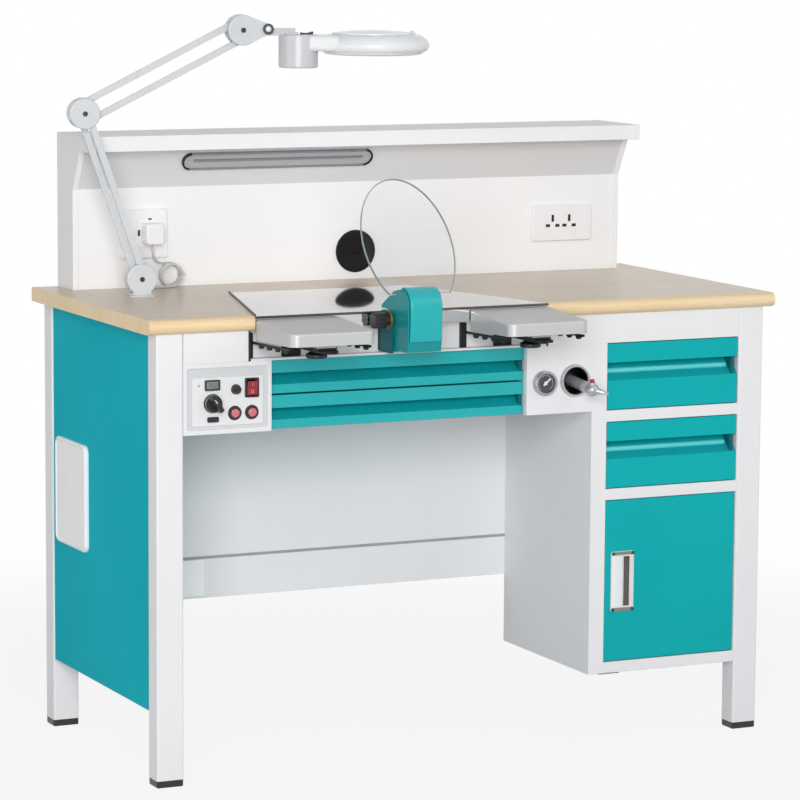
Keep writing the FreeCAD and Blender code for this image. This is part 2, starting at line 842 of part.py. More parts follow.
def control_inserts():
    """Display, fuse, outlet and the dark bezels of the switch and buttons."""
    y = plate_y()
    solids = []
    x, z = control_point(display_at)
    frame = rounded_plate(x - display_size[0] / 2, x + display_size[0] / 2, z - display_size[1] / 2,
                          z + display_size[1] / 2, y - insert_rise, y, 1.5)
    window = box(x - display_size[0] / 2 + 2.5, x + display_size[0] / 2 - 2.5, y - insert_rise,
                 y - insert_rise / 2, z - display_size[1] / 2 + 2.5, z + display_size[1] / 2 - 2.5)
    solids.append(frame.cut(window))
    x, z = control_point(fuse_at)
    cap = Part.makeCone(fuse_radius, fuse_radius * 0.75, fuse_height, V(x, y, z), V(0, -1, 0))
    slot = box(x - fuse_radius, x + fuse_radius, y - fuse_height, y - fuse_height + 2, z - 1, z + 1)
    solids.append(cap.cut(slot))
    x, z = control_point(socket_at)
    outlet = rounded_plate(x - socket_size[0] / 2, x + socket_size[0] / 2, z - socket_size[1] / 2,
                           z + socket_size[1] / 2, y - insert_rise, y, 2)
    for step in (-1, 0, 1):
        mouth = V(x + step * socket_size[0] / 4, y - insert_rise, z)
        outlet = outlet.cut(rod(mouth, V(0, 1, 0), socket_hole, insert_rise / 2))
    solids.append(outlet)
    x, z = control_point(rocker_at)
    bezel = rounded_plate(x - rocker_size[0] / 2, x + rocker_size[0] / 2, z - rocker_size[1] / 2,
                          z + rocker_size[1] / 2, y - insert_rise, y, 2)
    side = rocker_cap[0] / 2 + rocker_room
    end = rocker_cap[1] / 2 + 2 * rocker_room
    bezel = bezel.cut(box(x - side, x + side, y - insert_rise, y, z - end, z + end))
    bore = rocker_cap[0] / 2 + rocker_pin_reach + slide_gap
    axle = rod(V(x - bore, y - rocker_pivot, z), V(1, 0, 0), rocker_pin + pin_fit, 2 * bore)
    solids.append(bezel.cut(axle))
    for at in (button_left_at, button_right_at):
        x, z = control_point(at)
        ring = Part.makeCone(button_ring, button_ring - 1.5, insert_rise, V(x, y, z), V(0, -1, 0))
        ring = ring.fuse(rod(V(x, y, z), V(0, 1, 0), button_sleeve, button_depth))
        ring = ring.cut(rod(V(x, y - insert_rise, z), V(0, 1, 0), button_bore, insert_rise + button_depth))
        solids.append(ring)
    return solids


def speed_knob():
    """Turning knob: skirt, body and a raised grip bar that points at the scale."""
    x, z = control_point(dial_at)
    y = plate_y() - slide_gap
    axis = V(0, -1, 0)
    knob = Part.makeCone(dial_skirt, dial_skirt - 1.5, dial_skirt_height, V(x, y, z), axis)
    body = Part.makeCone(dial_body + 1, dial_body, dial_height - dial_skirt_height,
                         V(x, y - dial_skirt_height, z), axis)
    knob = knob.fuse(body)
    for side in (-1, 1):
        edge = 4.0 if side > 0 else -dial_skirt
        scoop = box(x + edge, x + edge + dial_skirt - 4.0, y - dial_height - 1, y - dial_skirt_height - 3,
                    z - dial_skirt, z + dial_skirt)
        knob = knob.cut(scoop)
    shaft = rod(V(x, y + margin_depth + sheet + 8, z), axis, dial_shaft, margin_depth + sheet + 9)
    knob = knob.fuse(shaft).removeSplitter()
    knob.rotate(V(x, y, z), V(0, 1, 0), -35)
    return knob


def rocker_switch():
    """Switch cap with two sloping halves that rock about a cross pivot."""
    x, z = control_point(rocker_at)
    y = plate_y()
    half = rocker_cap[1] / 2 - 1
    face = y - rocker_rise
    points = [V(x - rocker_cap[0] / 2, face - rocker_slope / 2, z + half), V(x - rocker_cap[0] / 2, face, z),
              V(x - rocker_cap[0] / 2, face - rocker_slope / 2, z - half),
              V(x - rocker_cap[0] / 2, y + 2, z - half + 2), V(x - rocker_cap[0] / 2, y + 2, z + half - 2)]
    cap = face_of(points).extrude(V(rocker_cap[0], 0, 0))
    reach = rocker_cap[0] / 2 + rocker_pin_reach
    axle = rod(V(x - reach, y - rocker_pivot, z), V(1, 0, 0), rocker_pin, 2 * reach)
    cap = cap.fuse(axle).removeSplitter()
    cap.rotate(V(x, y - rocker_pivot, z), V(1, 0, 0), rocker_tilt)
    return cap


def push_button(at):
    """Domed lens cap of a lit push button."""
    x, z = control_point(at)
    y = plate_y()
    stem = rod(V(x, y + button_depth - 1, z), V(0, -1, 0), button_cap, button_depth - 1 + button_rise)
    rim_edges = [e for e in stem.Edges if e.BoundBox.YMax < y - button_rise + 1e-6]
    return stem.makeFillet(1.5, rim_edges)




def gauge_point(at):
    mid = (tray_right + cabinet_left) / 2
    return mid + at[0], fascia_bottom - box_height / 2 + at[1]


def gauge_box():
    """Box right of the trays, bored for the gauge and the holder."""
    shell = sheet_box(tray_right, cabinet_left, box_bottom, fascia_bottom)
    for at, radius in ((gauge_at, gauge_can), (holder_at, holder_bore + holder_wall)):
        x, z = gauge_point(at)
        shell = shell.cut(rod(V(x, face_y, z), V(0, 1, 0), radius + slide_gap, margin_depth + sheet))
    return shell


def pressure_gauge():
    """Round gauge: turned bezel, sunk dial and the can behind it."""
    x, z = gauge_point(gauge_at)
    r = gauge_radius
    top = gauge_depth + gauge_rise
    profile = [V(0, 0, 0), V(gauge_can, 0, 0), V(gauge_can, 0, gauge_depth), V(r, 0, gauge_depth),
               V(r, 0, top - gauge_edge), V(r - gauge_edge, 0, top), V(r - 2 * gauge_edge, 0, top),
               V(r - 2.5 * gauge_edge, 0, top - gauge_sink), V(0, 0, top - gauge_sink)]
    turned = face_of(profile).revolve(V(0, 0, 0), V(0, 0, 1), 360)
    turned.rotate(V(0, 0, 0), V(1, 0, 0), 90)
    turned.translate(V(x, face_y + gauge_depth, z))
    return turned


def gun_holder():
    """Flanged cup that the air gun hangs in."""
    x, z = gauge_point(holder_at)
    outer = holder_bore + holder_wall
    top = holder_depth + holder_rise
    profile = [V(0, 0, 0), V(outer, 0, 0), V(outer, 0, holder_depth), V(holder_flange, 0, holder_depth),
               V(holder_flange - holder_edge, 0, top), V(outer + 1, 0, top),
               V(holder_bore, 0, top - holder_flare), V(holder_bore, 0, holder_wall), V(0, 0, holder_wall)]
    turned = face_of(profile).revolve(V(0, 0, 0), V(0, 0, 1), 360)
    turned.rotate(V(0, 0, 0), V(1, 0, 0), 90)
    turned.translate(V(x, face_y + holder_depth, z))
    return turned


def gun_middle():
    x, z = gauge_point(holder_at)
    return V(x + gun_side, face_y - gun_reach, z - gun_drop)


def air_gun():
    """Blow gun: collar in the cup, barrel, round head and a thin bent-down nozzle."""
    x, z = gauge_point(holder_at)
    collar = rod(V(x, face_y + gun_collar_at, z), V(0, 1, 0), gun_collar, 8)
    head = gun_middle()
    barrel = rod_between(V(x, face_y + gun_collar_at + 2, z), head, gun_barrel)
    ball = Part.makeSphere(gun_head, head)
    tip = V(x + nozzle_end[0], face_y - nozzle_end[1], z + nozzle_end[2])
    taper = (tip - head)
    taper.normalize()
    cone = Part.makeCone(gun_barrel * 0.8, nozzle_radius * 1.4, gun_head * 2, head, taper)
    nozzle = rod_between(head, tip, nozzle_radius)
    guide = rod(head, V(0, 0, 1), trigger_radius + 2, gun_head + 1)
    gun = collar.fuse([barrel, ball, cone, nozzle, guide]).removeSplitter()
    return gun.cut(rod(head + V(0, 0, gun_head - 4), V(0, 0, 1), trigger_radius + slide_gap, 8))


def gun_button():
    head = gun_middle()
    start = head + V(0, 0, gun_head - 4 + trigger_travel + slide_gap)
    stem = rod(start, V(0, 0, 1), trigger_radius, trigger_rise + 4)
    top = [e for e in stem.Edges if e.BoundBox.ZMin > start.z + trigger_rise + 4 - 1e-6]
    return stem.makeFillet(1.2, top)


def upstand_profile(grow, x):
    """Side outline: straight splash, cove leaning forward, hood and flat back."""
    front = splash_y - grow
    return [V(x, rear_y, top_height), V(x, rear_y, top_height + hood_height),
            V(x, rear_y - upstand_hood - grow, top_height + hood_height),
            V(x, rear_y - upstand_hood - grow, top_height + hood_height - hood_face),
            V(x, rear_y - upstand_throat - grow, top_height + cove_height),
            V(x, front, top_height + splash_height), V(x, front, top_height)]


def upstand_shell():
    """Folded splash, cove and hood between two end plates."""
    half = upstand_width / 2
    x0 = -half + end_plate
    skin = folded(upstand_profile(0, x0), -sheet, V(2 * (half - end_plate), 0, 0))
    skin = skin.cut(single_bore()).cut(double_bore())
    ends = []
    for x in (-half, half - end_plate):
        ends.append(face_of(upstand_profile(end_proud, x)).extrude(V(end_plate, 0, 0)))
    return [skin] + ends


def single_bore():
    z = top_height + single_height
    size = single_size / 2 - socket_lap
    return box(single_x - size, single_x + size, splash_y - sheet, splash_y + 3 * sheet, z - size, z + size)


def double_bore():
    z = top_height + double_height
    half = double_length / 2 - socket_lap
    rise = double_size / 2 - socket_lap
    return box(double_x - half, double_x + half, splash_y - sheet, splash_y + 3 * sheet, z - rise, z + rise)


def outlet(plate, x, y, z):
    """Three-pin pattern: one upright slot above two flat ones."""
    low, high = pin_slot_span
    plate = plate.cut(box(x - pin_slot / 2, x + pin_slot / 2, y, y + pin_depth, z + low, z + high))
    low, high = pin_side_span
    half = pin_side_width / 2
    for side in (-1, 1):
        mid = x + side * pin_side
        plate = plate.cut(box(mid - half, mid + half, y, y + pin_depth, z + low, z + high))
    return plate


def socket_plates():
    """Single outlet plate at the left, double one at the right."""
    y = splash_y - socket_thick
    plates = []
    single = (single_x, single_size, single_size, single_height, ())
    double = (double_x, double_length, double_size, double_height, outlet_places)
    for x, length, size, height, places in (single, double):
        z = top_height + height
        half = length / 2
        plate = rounded_plate(x - half, x + half, z - size / 2, z + size / 2, y, splash_y, socket_round)
        outer = [e for e in plate.Edges if e.BoundBox.YMax < y + 1e-6]
        plate = plate.makeFillet(socket_edge, outer)
        for place in places:
            plate = outlet(plate, x + place, y, z)
        plates.append(plate)
    return plates


def cove_frame():
    """Point on the cove at the light, and the angle that lays a flat piece on it."""
    rise = cove_height - splash_height
    run = upstand_foot - upstand_throat
    y = splash_y + run * light_rise / rise
    return V(light_x, y, top_height + splash_height + light_rise), math.degrees(math.atan2(-run, rise))


def stadium(length, width, thick):
    """Slot-shaped plate in the XZ plane, standing out towards the front."""
    core = box(-length / 2 + width / 2, length / 2 - width / 2, -thick, 0, -width / 2, width / 2)
    for side in (-1, 1):
        core = core.fuse(rod(V(side * (length - width) / 2, 0, 0), V(0, -1, 0), width / 2, thick))
    return core.removeSplitter()


def on_cove(shape):
    point, angle = cove_frame()
    shape.rotate(V(0, 0, 0), V(1, 0, 0), angle)
    shape.translate(point)
    return shape


def light_bezel():
    ring = stadium(light_length, light_width, light_thick)
    return on_cove(ring.cut(stadium(light_length - 2 * light_rim, light_width - 2 * light_rim, light_thick)))


def light_diffuser():
    """Lens of the strip light with a raised rib along its middle."""
    lens = stadium(light_length - 2 * light_rim, light_width - 2 * light_rim, light_thick * 0.6)
    rib = stadium(light_length - 6 * light_rim, light_width / 5, light_thick * 0.9)
    return on_cove(lens.fuse(rib).removeSplitter())


def grommet():
    """Rubber bung with a dished face and a centre nipple."""
    t = grommet_thick
    r = grommet_radius
    profile = [V(0, 0, 0), V(r, 0, 0), V(r, 0, t * 0.6), V(r - 2, 0, t), V(r - 6, 0, t), V(6, 0, t * 0.6),
               V(4, 0, t), V(0, 0, t)]
    turned = face_of(profile).revolve(V(0, 0, 0), V(0, 0, 1), 360)
    turned.rotate(V(0, 0, 0), V(1, 0, 0), 90)
    turned.translate(V(grommet_x, splash_y, top_height + grommet_height))
    return turned


def at_edge(reach, rise, x=0.0):
    """Point by its distance out of the table's front edge and above the table top."""
    return V(x, front_y - reach, top_height + rise)


def brow_arc(x):
    """Round brow of the suction head, from its front up to its top."""
    return Part.Arc(at_edge(head_reach, head_top - head_brow, x),
                    at_edge(head_reach - brow_bulge[0], head_top - brow_bulge[1], x),
                    at_edge(head_reach - head_crown, head_top, x)).toShape()


def head_outline(x):
    """Side outline of the suction head: round brow, sloping back that laps the plate."""
    points = [at_edge(head_reach - head_crown, head_top, x),
              at_edge(slope_start[0], head_top - slope_start[1], x),
              at_edge(-head_lap + 1, head_lip, x), at_edge(-head_lap, head_clear, x),
              at_edge(head_back, head_clear, x), at_edge(head_back, head_lip - head_bottom, x),
              at_edge(head_back + head_lip, -head_bottom, x),
              at_edge(head_reach - chin_step[0], chin_step[1] - head_bottom, x),
              at_edge(head_reach, head_chin - head_bottom, x), at_edge(head_reach, head_top - head_brow, x)]
    return Part.Face(Part.Wire([brow_arc(x)] + Part.makePolygon(points).Edges))


def glass_line(down):
    """Point of the glass plane's middle line, below the glass's middle."""
    lean = math.radians(glass_lean)
    return at_edge(-glass_back + down * math.sin(lean), glass_rise - down * math.cos(lean), work_x)


def glass_plate(half_width, half_height, thick):
    """Oval plate leaning back, in its place over the suction head."""
    oval = Part.Ellipse(V(0, 0, 0), half_height, half_width).toShape()
    plate = Part.Face(Part.Wire([oval])).extrude(V(0, 0, thick))
    plate.translate(V(0, 0, -thick / 2))
    plate.rotate(V(0, 0, 0), V(0, 0, 1), 90)
    plate.rotate(V(0, 0, 0), V(1, 0, 0), 90 - glass_lean)
    plate.translate(glass_line(0) + V(glass_side, 0, 0))
    return plate


def lean_block(down, width, thick, length):
    """Block square to the glass: from a level below its middle, downwards."""
    block = box(-width / 2, width / 2, -thick / 2, thick / 2, -length, 0)
    block.rotate(V(0, 0, 0), V(1, 0, 0), -glass_lean)
    block.translate(glass_line(down))
    return block


def axle_point(x):
    return at_edge(axle_reach, -axle_drop, x)


def suction_body():
    """Hollow suction head with a mouth above the plate, a port behind and a slot for the glass."""
    x0 = work_x - head_width / 2
    skin = head_outline(x0)
    block = skin.extrude(V(head_width, 0, 0))
    crown = [e for e in along(block, "x", head_width - 1) if e.BoundBox.ZMin > top_height + head_top - 1]
    block = block.makeFillet(crown_round, crown)
    inner = Part.Face(skin.OuterWire.makeOffset2D(-head_wall, 2))
    room = head_width - 2 * head_wall
    hollow = inner.extrude(V(room, 0, 0))
    hollow.translate(V(head_wall, 0, 0))
    shelf = lean_block(glass_cut - shelf_rise, room, glass_thick + 4 * head_wall, shelf_height)
    body = block.cut(hollow.cut(shelf))
    slot = lean_block(0, 2 * head_width, glass_thick + 2 * slide_gap, glass_cut + slide_gap)
    half = head_width / 2 - mouth_inset
    mouth = box(work_x - half, work_x + half, front_y - mouth_rise, front_y + head_lap - mouth_back,
                top_height + mouth_rise, top_height + head_top)
    port = rod(at_edge(0, -port_drop, work_x), V(0, -1, 0), port_radius, head_back + 2 * head_wall)
    bore = rod(axle_point(x0 - 1), V(1, 0, 0), axle_radius + pin_fit, head_width + 2)
    body = body.cut(slot).cut(mouth).cut(port).cut(bore)
    front = Part.LineSegment(at_edge(head_reach, head_chin + cover_skin - head_bottom, x0),
                             at_edge(head_reach, head_top - head_brow, x0)).toShape()
    line = Part.Wire([front, brow_arc(x0)])
    skin = line.makeOffset2D(-cover_skin, 0, True, True, False)
    cover = skin.extrude(V(head_width - 2 * cover_inset, 0, 0))
    cover.translate(V(cover_inset, 0, 0))
    return body, cover.cut(slot)


def suction_knob():
    """Clamp knob on the axle that the suction head tilts on."""
    left = work_x - head_width / 2 - ear_gap - ear_thick
    right = work_x + head_width / 2 + ear_gap + ear_thick
    axle = rod_between(axle_point(left - 8), axle_point(right), axle_radius)
    grip = rod_between(axle_point(left - 8 - knob_length), axle_point(left - 8), knob_radius)
    for i in range(8):
        turn = math.radians(45 * i)
        notch = axle_point(left - 8 - knob_length) + V(0, math.cos(turn), math.sin(turn)) * (knob_radius + 2)
        grip = grip.cut(rod(notch, V(1, 0, 0), 4, knob_length - 4))
    collar = rod_between(axle_point(left - 8), axle_point(left - slide_gap), axle_radius + 5)
    return axle.fuse([grip, collar]).removeSplitter()


def rest_middle(side):
    return work_x + side * (plate_front - rest_width) / 2


def work_brackets():
    """Ears for the suction axle and slotted arms under the hand rests, all fixed in the recess."""
    solids = []
    for side in (-1, 1):
        x0 = work_x + side * (head_width / 2 + ear_gap)
        x0 = min(x0, x0 + side * ear_thick)
        top = ear_head - axle_drop
        neck = -plate_lip - ear_clear
        low = neck - ear_height
        far = axle_reach + ear_head
        near = axle_reach - ear_head
        back = front_y - recess_y
        points = [at_edge(far, top, x0), at_edge(near, top, x0), at_edge(near, neck, x0),
                  at_edge(back, neck, x0), at_edge(back, low, x0), at_edge(far, low, x0)]
        ear = face_of(points).extrude(V(ear_thick, 0, 0))
        solids.append(ear.cut(rod(axle_point(x0 - 1), V(1, 0, 0), axle_radius + pin_fit, ear_thick + 2)))
    for side in (-1, 1):
        x = rest_middle(side)
        low = -arm_drop - arm_thick
        strip = box(x - arm_width / 2, x + arm_width / 2, front_y - arm_end, recess_y,
                    top_height + low, top_height - arm_drop)
        tail = box(x - arm_width / 2, x + arm_width / 2, recess_y - arm_thick, recess_y,
                   fascia_bottom + rim + slide_gap, top_height + low)
        slot = box(x - arm_slot / 2, x + arm_slot / 2, front_y - clamp_reach - rest_travel - 6,
                   front_y - clamp_reach + 6, top_height + low, top_height - arm_drop)
        front = [e for e in along(strip, "z") if e.BoundBox.YMax < front_y - arm_end + 1e-6]
        solids.append(strip.makeFillet(arm_width / 4, front).fuse(tail).cut(slot).removeSplitter())
        side_run = rest_width / 2 - rack_inset - rack_thick / 2
        for edge in (-1, 1):
            solids.append(rest_rack(x + edge * side_run - rack_thick / 2, edge))
    return solids


def rest_rack(x, way):
    """Toothed rack that follows a hand rest's sloping underside, on a post in the recess."""
    run = rest_reach - rest_gap
    slope = (rest_rear_bottom - rest_front_bottom) / run
    back = front_y - recess_y

    def under(reach):
        return slope * (reach - rest_gap) - rest_rear_bottom - rack_gap

    edge = [at_edge(back, under(0), x), at_edge(0, under(0), x), at_edge(rack_reach, under(rack_reach), x),
            at_edge(rack_reach, under(rack_reach) - rack_height, x), at_edge(back, under(0) - rack_height, x)]
    rack = face_of(edge).extrude(V(rack_thick, 0, 0))
    for i in range(int(rack_reach / rack_pitch)):
        reach = rack_pitch * (i + 0.5)
        middle = at_edge(reach, under(reach) - rack_height + tooth_radius - tooth_depth, x)
        tooth = rod(middle, V(1, 0, 0), tooth_radius, rack_thick)
        above = box(x, x + rack_thick, middle.y - 2 * tooth_radius, middle.y + 2 * tooth_radius,
                    top_height + under(reach) - rack_height / 2, top_height)
        rack = rack.fuse(tooth.cut(above))
    inner = x + rack_thick / 2
    x0 = max(min(inner, inner + way * post_width), recess_left + rim + slide_gap)
    x1 = min(max(inner, inner + way * post_width), recess_right - rim - slide_gap)
    post = box(x0, x1, recess_y - post_depth, recess_y,
               fascia_bottom + rim + slide_gap, underside - post_clear)
    return rack.fuse(post).removeSplitter()


def armrest(side):
    """Wedge-shaped hand rest with a guide rib, clamped from below by a round knob."""
    x = rest_middle(side)
    x0 = x - rest_width / 2
    side_view = face_of([at_edge(rest_gap, -rest_rear_top, x0), at_edge(rest_reach, -rest_front_top, x0),
                         at_edge(rest_reach, -rest_front_bottom, x0),
                         at_edge(rest_gap, -rest_rear_bottom, x0)])
    pad = side_view.extrude(V(rest_width, 0, 0))
    front = [e for e in along(pad, "z") if e.BoundBox.YMax < front_y - rest_reach + 1e-6]
    pad = pad.makeFillet(rest_round, front)
    crown = [e for e in pad.Edges if e.BoundBox.ZMin > top_height - rest_front_top - 0.01]
    pad = pad.makeFillet(rest_edge, crown)
    level = top_height - arm_drop
    half = arm_width / 2
    front = front_y - rest_reach + 2 * rest_round
    rib = box(x - half, x + half, front, front_y - 2 * rest_gap, level, level + 8)
    stem = rod(V(x, front_y - clamp_reach, level + 2), V(0, 0, -1), clamp_stem, arm_thick + slide_gap + 4)
    foot = V(x, front_y - clamp_reach, level - arm_thick - slide_gap)
    knob = Part.makeCone(clamp_radius * 0.45, clamp_radius, clamp_height / 2, foot, V(0, 0, -1))
    disc = rod(foot - V(0, 0, clamp_height / 2), V(0, 0, -1), clamp_radius, clamp_height / 2)
    disc = disc.makeFillet(2.5, [e for e in disc.Edges if e.BoundBox.ZMax < foot.z - clamp_height + 1e-6])
    return pad.fuse([rib, stem, knob, disc]).removeSplitter()


def extractor():
    """Extractor case in the rear compartment, open to its vent, with the duct from the recess."""
    y0 = knee_y + unit_gap
    y1 = rear_panel_y - 2
    duct_z = top_height - port_drop
    low = floor_height + sheet
    top = floor_height + unit_height
    x0 = work_x - unit_width / 2
    x1 = work_x + unit_width / 2
    half = tower_size / 2
    case = box(x0, x1, y0, y1, low, top)
    case = case.makeFillet(12, along(case, "z"))
    tower = box(work_x - half, work_x + half, y0, y0 + tower_size, top, underside - 2)
    room = box(x0 + sheet, x1 - sheet, y0 + sheet, y1 - sheet, low + sheet, top - sheet)
    room = room.makeFillet(12 - sheet, along(room, "z"))
    shaft = box(work_x - half + sheet, work_x + half - sheet, y0 + sheet, y0 + tower_size - sheet,
                top - 2 * sheet, underside - 2 - sheet)
    case = case.fuse(tower).cut(room).cut(shaft)
    inlet = rod(V(work_x, y0, duct_z), V(0, 1, 0), duct_radius - duct_wall, sheet)
    outlet_low = (floor_height + underside) / 2 - vent_pitch * vent_count / 2
    window = box(work_x - vent_length / 2, work_x + vent_length / 2, y1 - sheet, y1, outlet_low, top - 12)
    case = case.cut(inlet).cut(window).removeSplitter()
    mouth = V(work_x, front_y + duct_clear, duct_z)
    run = y0 - mouth.y
    pipe = rod(mouth, V(0, 1, 0), duct_radius, run)
    bore = rod(mouth, V(0, 1, 0), duct_radius - duct_wall, run)
    return case, pipe.cut(bore)


# Lamp pieces are laid out in the arm plane: s along it, n behind it, z up
def lamp_place(shape):
    shape.rotate(V(0, 0, 0), V(0, 0, 1), -arm_turn)
    shape.translate(V(lamp_x, rear_y - lamp_back, 0))
    return shape


def base_middle():
    return V(0, 0, top_height + base_rise)


def elbow_middle():
    lean = math.radians(lower_lean)
    return base_middle() + V(-math.sin(lean), 0, math.cos(lean)) * lower_length


def head_middle():
    rise = math.radians(upper_rise)
    return elbow_middle() + V(math.cos(rise), 0, math.sin(rise)) * upper_length


def disc_pair(middle):
    """Front and back cover discs of a joint."""
    inner = 1.5 * layer
    covers = []
    for way in (-1, 1):
        disc = rod(middle + V(0, way * inner, 0), V(0, way, 0), joint_radius, joint_cover)
        face = [e for e in disc.Edges if abs(e.BoundBox.YMin - middle.y) > inner + joint_cover - 1e-6
                or abs(e.BoundBox.YMax - middle.y) > inner + joint_cover - 1e-6]
        face = [e for e in face if e.BoundBox.YLength < 1e-6]
        covers.append(disc.makeFillet(joint_cover * 0.6, face))
    return covers


def pivot_pin(middle, up, near, far):
    start = middle + V(0, near, up * pivot_half)
    return rod(start, V(0, far - near, 0), bar_pin, abs(far - near))


def joint_web(middle, start_angle, end_angle):
    """Curved wall that ties the two covers of a joint together."""
    inner = 1.5 * layer
    ring = rod(middle + V(0, -inner, 0), V(0, 1, 0), joint_radius, 2 * inner)
    ring = ring.cut(rod(middle + V(0, -inner, 0), V(0, 1, 0), joint_radius - 3.5, 2 * inner))
    far = 3 * joint_radius
    points = [middle + V(0, -inner, 0)]
    for angle in (start_angle, (start_angle + end_angle) / 2, end_angle):
        turn = math.radians(angle)
        points.append(middle + V(far * math.cos(turn), -inner, far * math.sin(turn)))
    return ring.common(face_of(points).extrude(V(0, 2 * inner, 0)))


def bar(middle, up, direction, length, n):
    """Flat link with round eyes at both ends."""
    start = middle + V(0, n - bar_thick / 2, up * pivot_half)
    flat = box(0, length, 0, bar_thick, -bar_width / 2, bar_width / 2)
    for x in (0, length):
        flat = flat.fuse(rod(V(x, 0, 0), V(0, 1, 0), bar_width / 2 + 1, bar_thick))
    for x in (0, length):
        flat = flat.cut(rod(V(x, 0, 0), V(0, 1, 0), bar_pin + pin_fit, bar_thick))
    flat = flat.removeSplitter()
    flat.rotate(V(0, 0, 0), V(0, 1, 0), -math.degrees(math.atan2(direction.z, direction.x)))
    flat.translate(start)
    return flat


def lamp_base():
    """Square flange on the table, the sleeve that the lamp's pin turns in and the lead's gland."""
    half = base_flange / 2
    plate = box(-half, half, -half, half, top_height, top_height + base_thick)
    plate = plate.makeFillet(8, along(plate, "z"))
    sleeve = rod(V(0, 0, underside), V(0, 0, 1), sleeve_radius, top_thickness + 1)
    nut = rod(V(0, 0, underside - 8), V(0, 0, 1), sleeve_radius + 5, 8)
    bore = rod(V(0, 0, underside - 8), V(0, 0, 1), pin_radius + pin_fit, top_thickness + base_thick + 9)
    base = lamp_place(plate.fuse([sleeve, nut]).cut(bore).removeSplitter())
    mouth = gland_mouth()
    root = mouth - V(0, gland_length, 0)
    neck = box(gland_x - gland_radius, gland_x + gland_radius, rear_y - lamp_back + half - 6, root.y + 2,
               top_height, top_height + base_thick)
    boot = Part.makeCone(gland_radius, cord_radius + 1, gland_length, root, V(0, 1, 0))
    return base.fuse([neck, boot]).removeSplitter()


def gland_mouth():
    y = rear_y - lamp_back + base_flange / 2 + gland_length + 4
    return V(gland_x, y, top_height + gland_radius + slide_gap)


def lamp_post():
    """Swivelling foot bracket: pin, turntable and two cover discs with the lower pivots."""
    middle = base_middle()
    floor = top_height + base_thick + slide_gap
    pin = rod(V(0, 0, underside - 6), V(0, 0, 1), pin_radius, floor - underside + 8)
    table = rod(V(0, 0, floor), V(0, 0, 1), joint_radius - 4, turntable)
    inner = 1.5 * layer
    covers = disc_pair(middle)
    cheeks = []
    for way in (-1, 1):
        y0 = min(way * inner, way * (inner + joint_cover))
        cheeks.append(box(-joint_radius * 0.6, joint_radius * 0.6, y0, y0 + joint_cover, floor, middle.z))
    top_pin = pivot_pin(middle, 1, -inner, -layer / 2)
    low_pin = pivot_pin(middle, -1, inner, layer / 2)
    return lamp_place(pin.fuse([table, top_pin, low_pin] + covers + cheeks).removeSplitter())


def lower_way():
    lean = math.radians(lower_lean)
    return V(-math.sin(lean), 0, math.cos(lean))


def upper_way():
    rise = math.radians(upper_rise)
    return V(math.cos(rise), 0, math.sin(rise))


def elbow_bracket():
    middle = elbow_middle()
    inner = 1.5 * layer
    web = joint_web(middle, 130, 210)
    top_pin = pivot_pin(middle, 1, -inner, layer / 2)
    low_pin = pivot_pin(middle, -1, inner, -layer / 2)
    return lamp_place(web.fuse([top_pin, low_pin] + disc_pair(middle)).removeSplitter())


def tilt_point():
    return head_middle() + V(tilt_reach, 0, 2)


def tilt_clamp():
    """Knurled clamp ring in front of the tilting pivot, dished in its middle."""
    tilt = tilt_point()
    face = tilt - V(0, 1.5 * layer + joint_cover, 0)
    ring = rod(face, V(0, -1, 0), tilt_knob, tilt_knob_rise)
    ring = ring.cut(rod(face - V(0, tilt_knob_rise, 0), V(0, 1, 0), tilt_knob_dish, tilt_knob_rise / 2))
    for i in range(knurl_count):
        turn = 2 * math.pi * i / knurl_count
        notch = face + V(math.cos(turn), 0, math.sin(turn)) * (tilt_knob + knurl_radius / 2)
        ring = ring.cut(rod(notch, V(0, -1, 0), knurl_radius, tilt_knob_rise))
    return ring


def head_bracket():
    """Upper joint: teardrop covers that run out to the lamp's tilting pivot."""
    middle = head_middle()
    tilt = tilt_point()
    inner = 1.5 * layer
    across = math.cos(math.radians(60))
    rise = math.sin(math.radians(60))
    solids = []
    for way in (-1, 1):
        y0 = min(way * inner, way * (inner + joint_cover))
        points = []
        for centre, radius, ways in ((middle, joint_radius, (1, -1)), (tilt, tilt_radius, (-1, 1))):
            for up in ways:
                points.append(V(centre.x + radius * across, y0, centre.z + up * radius * rise))
        solids.append(face_of(points).extrude(V(0, joint_cover, 0)))
        solids.append(rod(V(tilt.x, y0, tilt.z), V(0, 1, 0), tilt_radius, joint_cover))
    top_pin = pivot_pin(middle, 1, -inner, layer / 2)
    low_pin = pivot_pin(middle, -1, inner, -layer / 2)
    bridge = rod(V(middle.x + joint_radius - 3, -inner, middle.z), V(0, 1, 0), 3, 2 * inner)
    pivot = rod(V(tilt.x, -inner, tilt.z), V(0, 1, 0), bar_pin, 2 * inner)
    solids += [top_pin, low_pin, pivot, tilt_clamp()] + disc_pair(middle)
    return lamp_place(bridge.fuse(solids).removeSplitter())


def can_middle():
    tilt = tilt_point()
    return V(head_middle().x + can_reach, 0, tilt.z - can_drop)


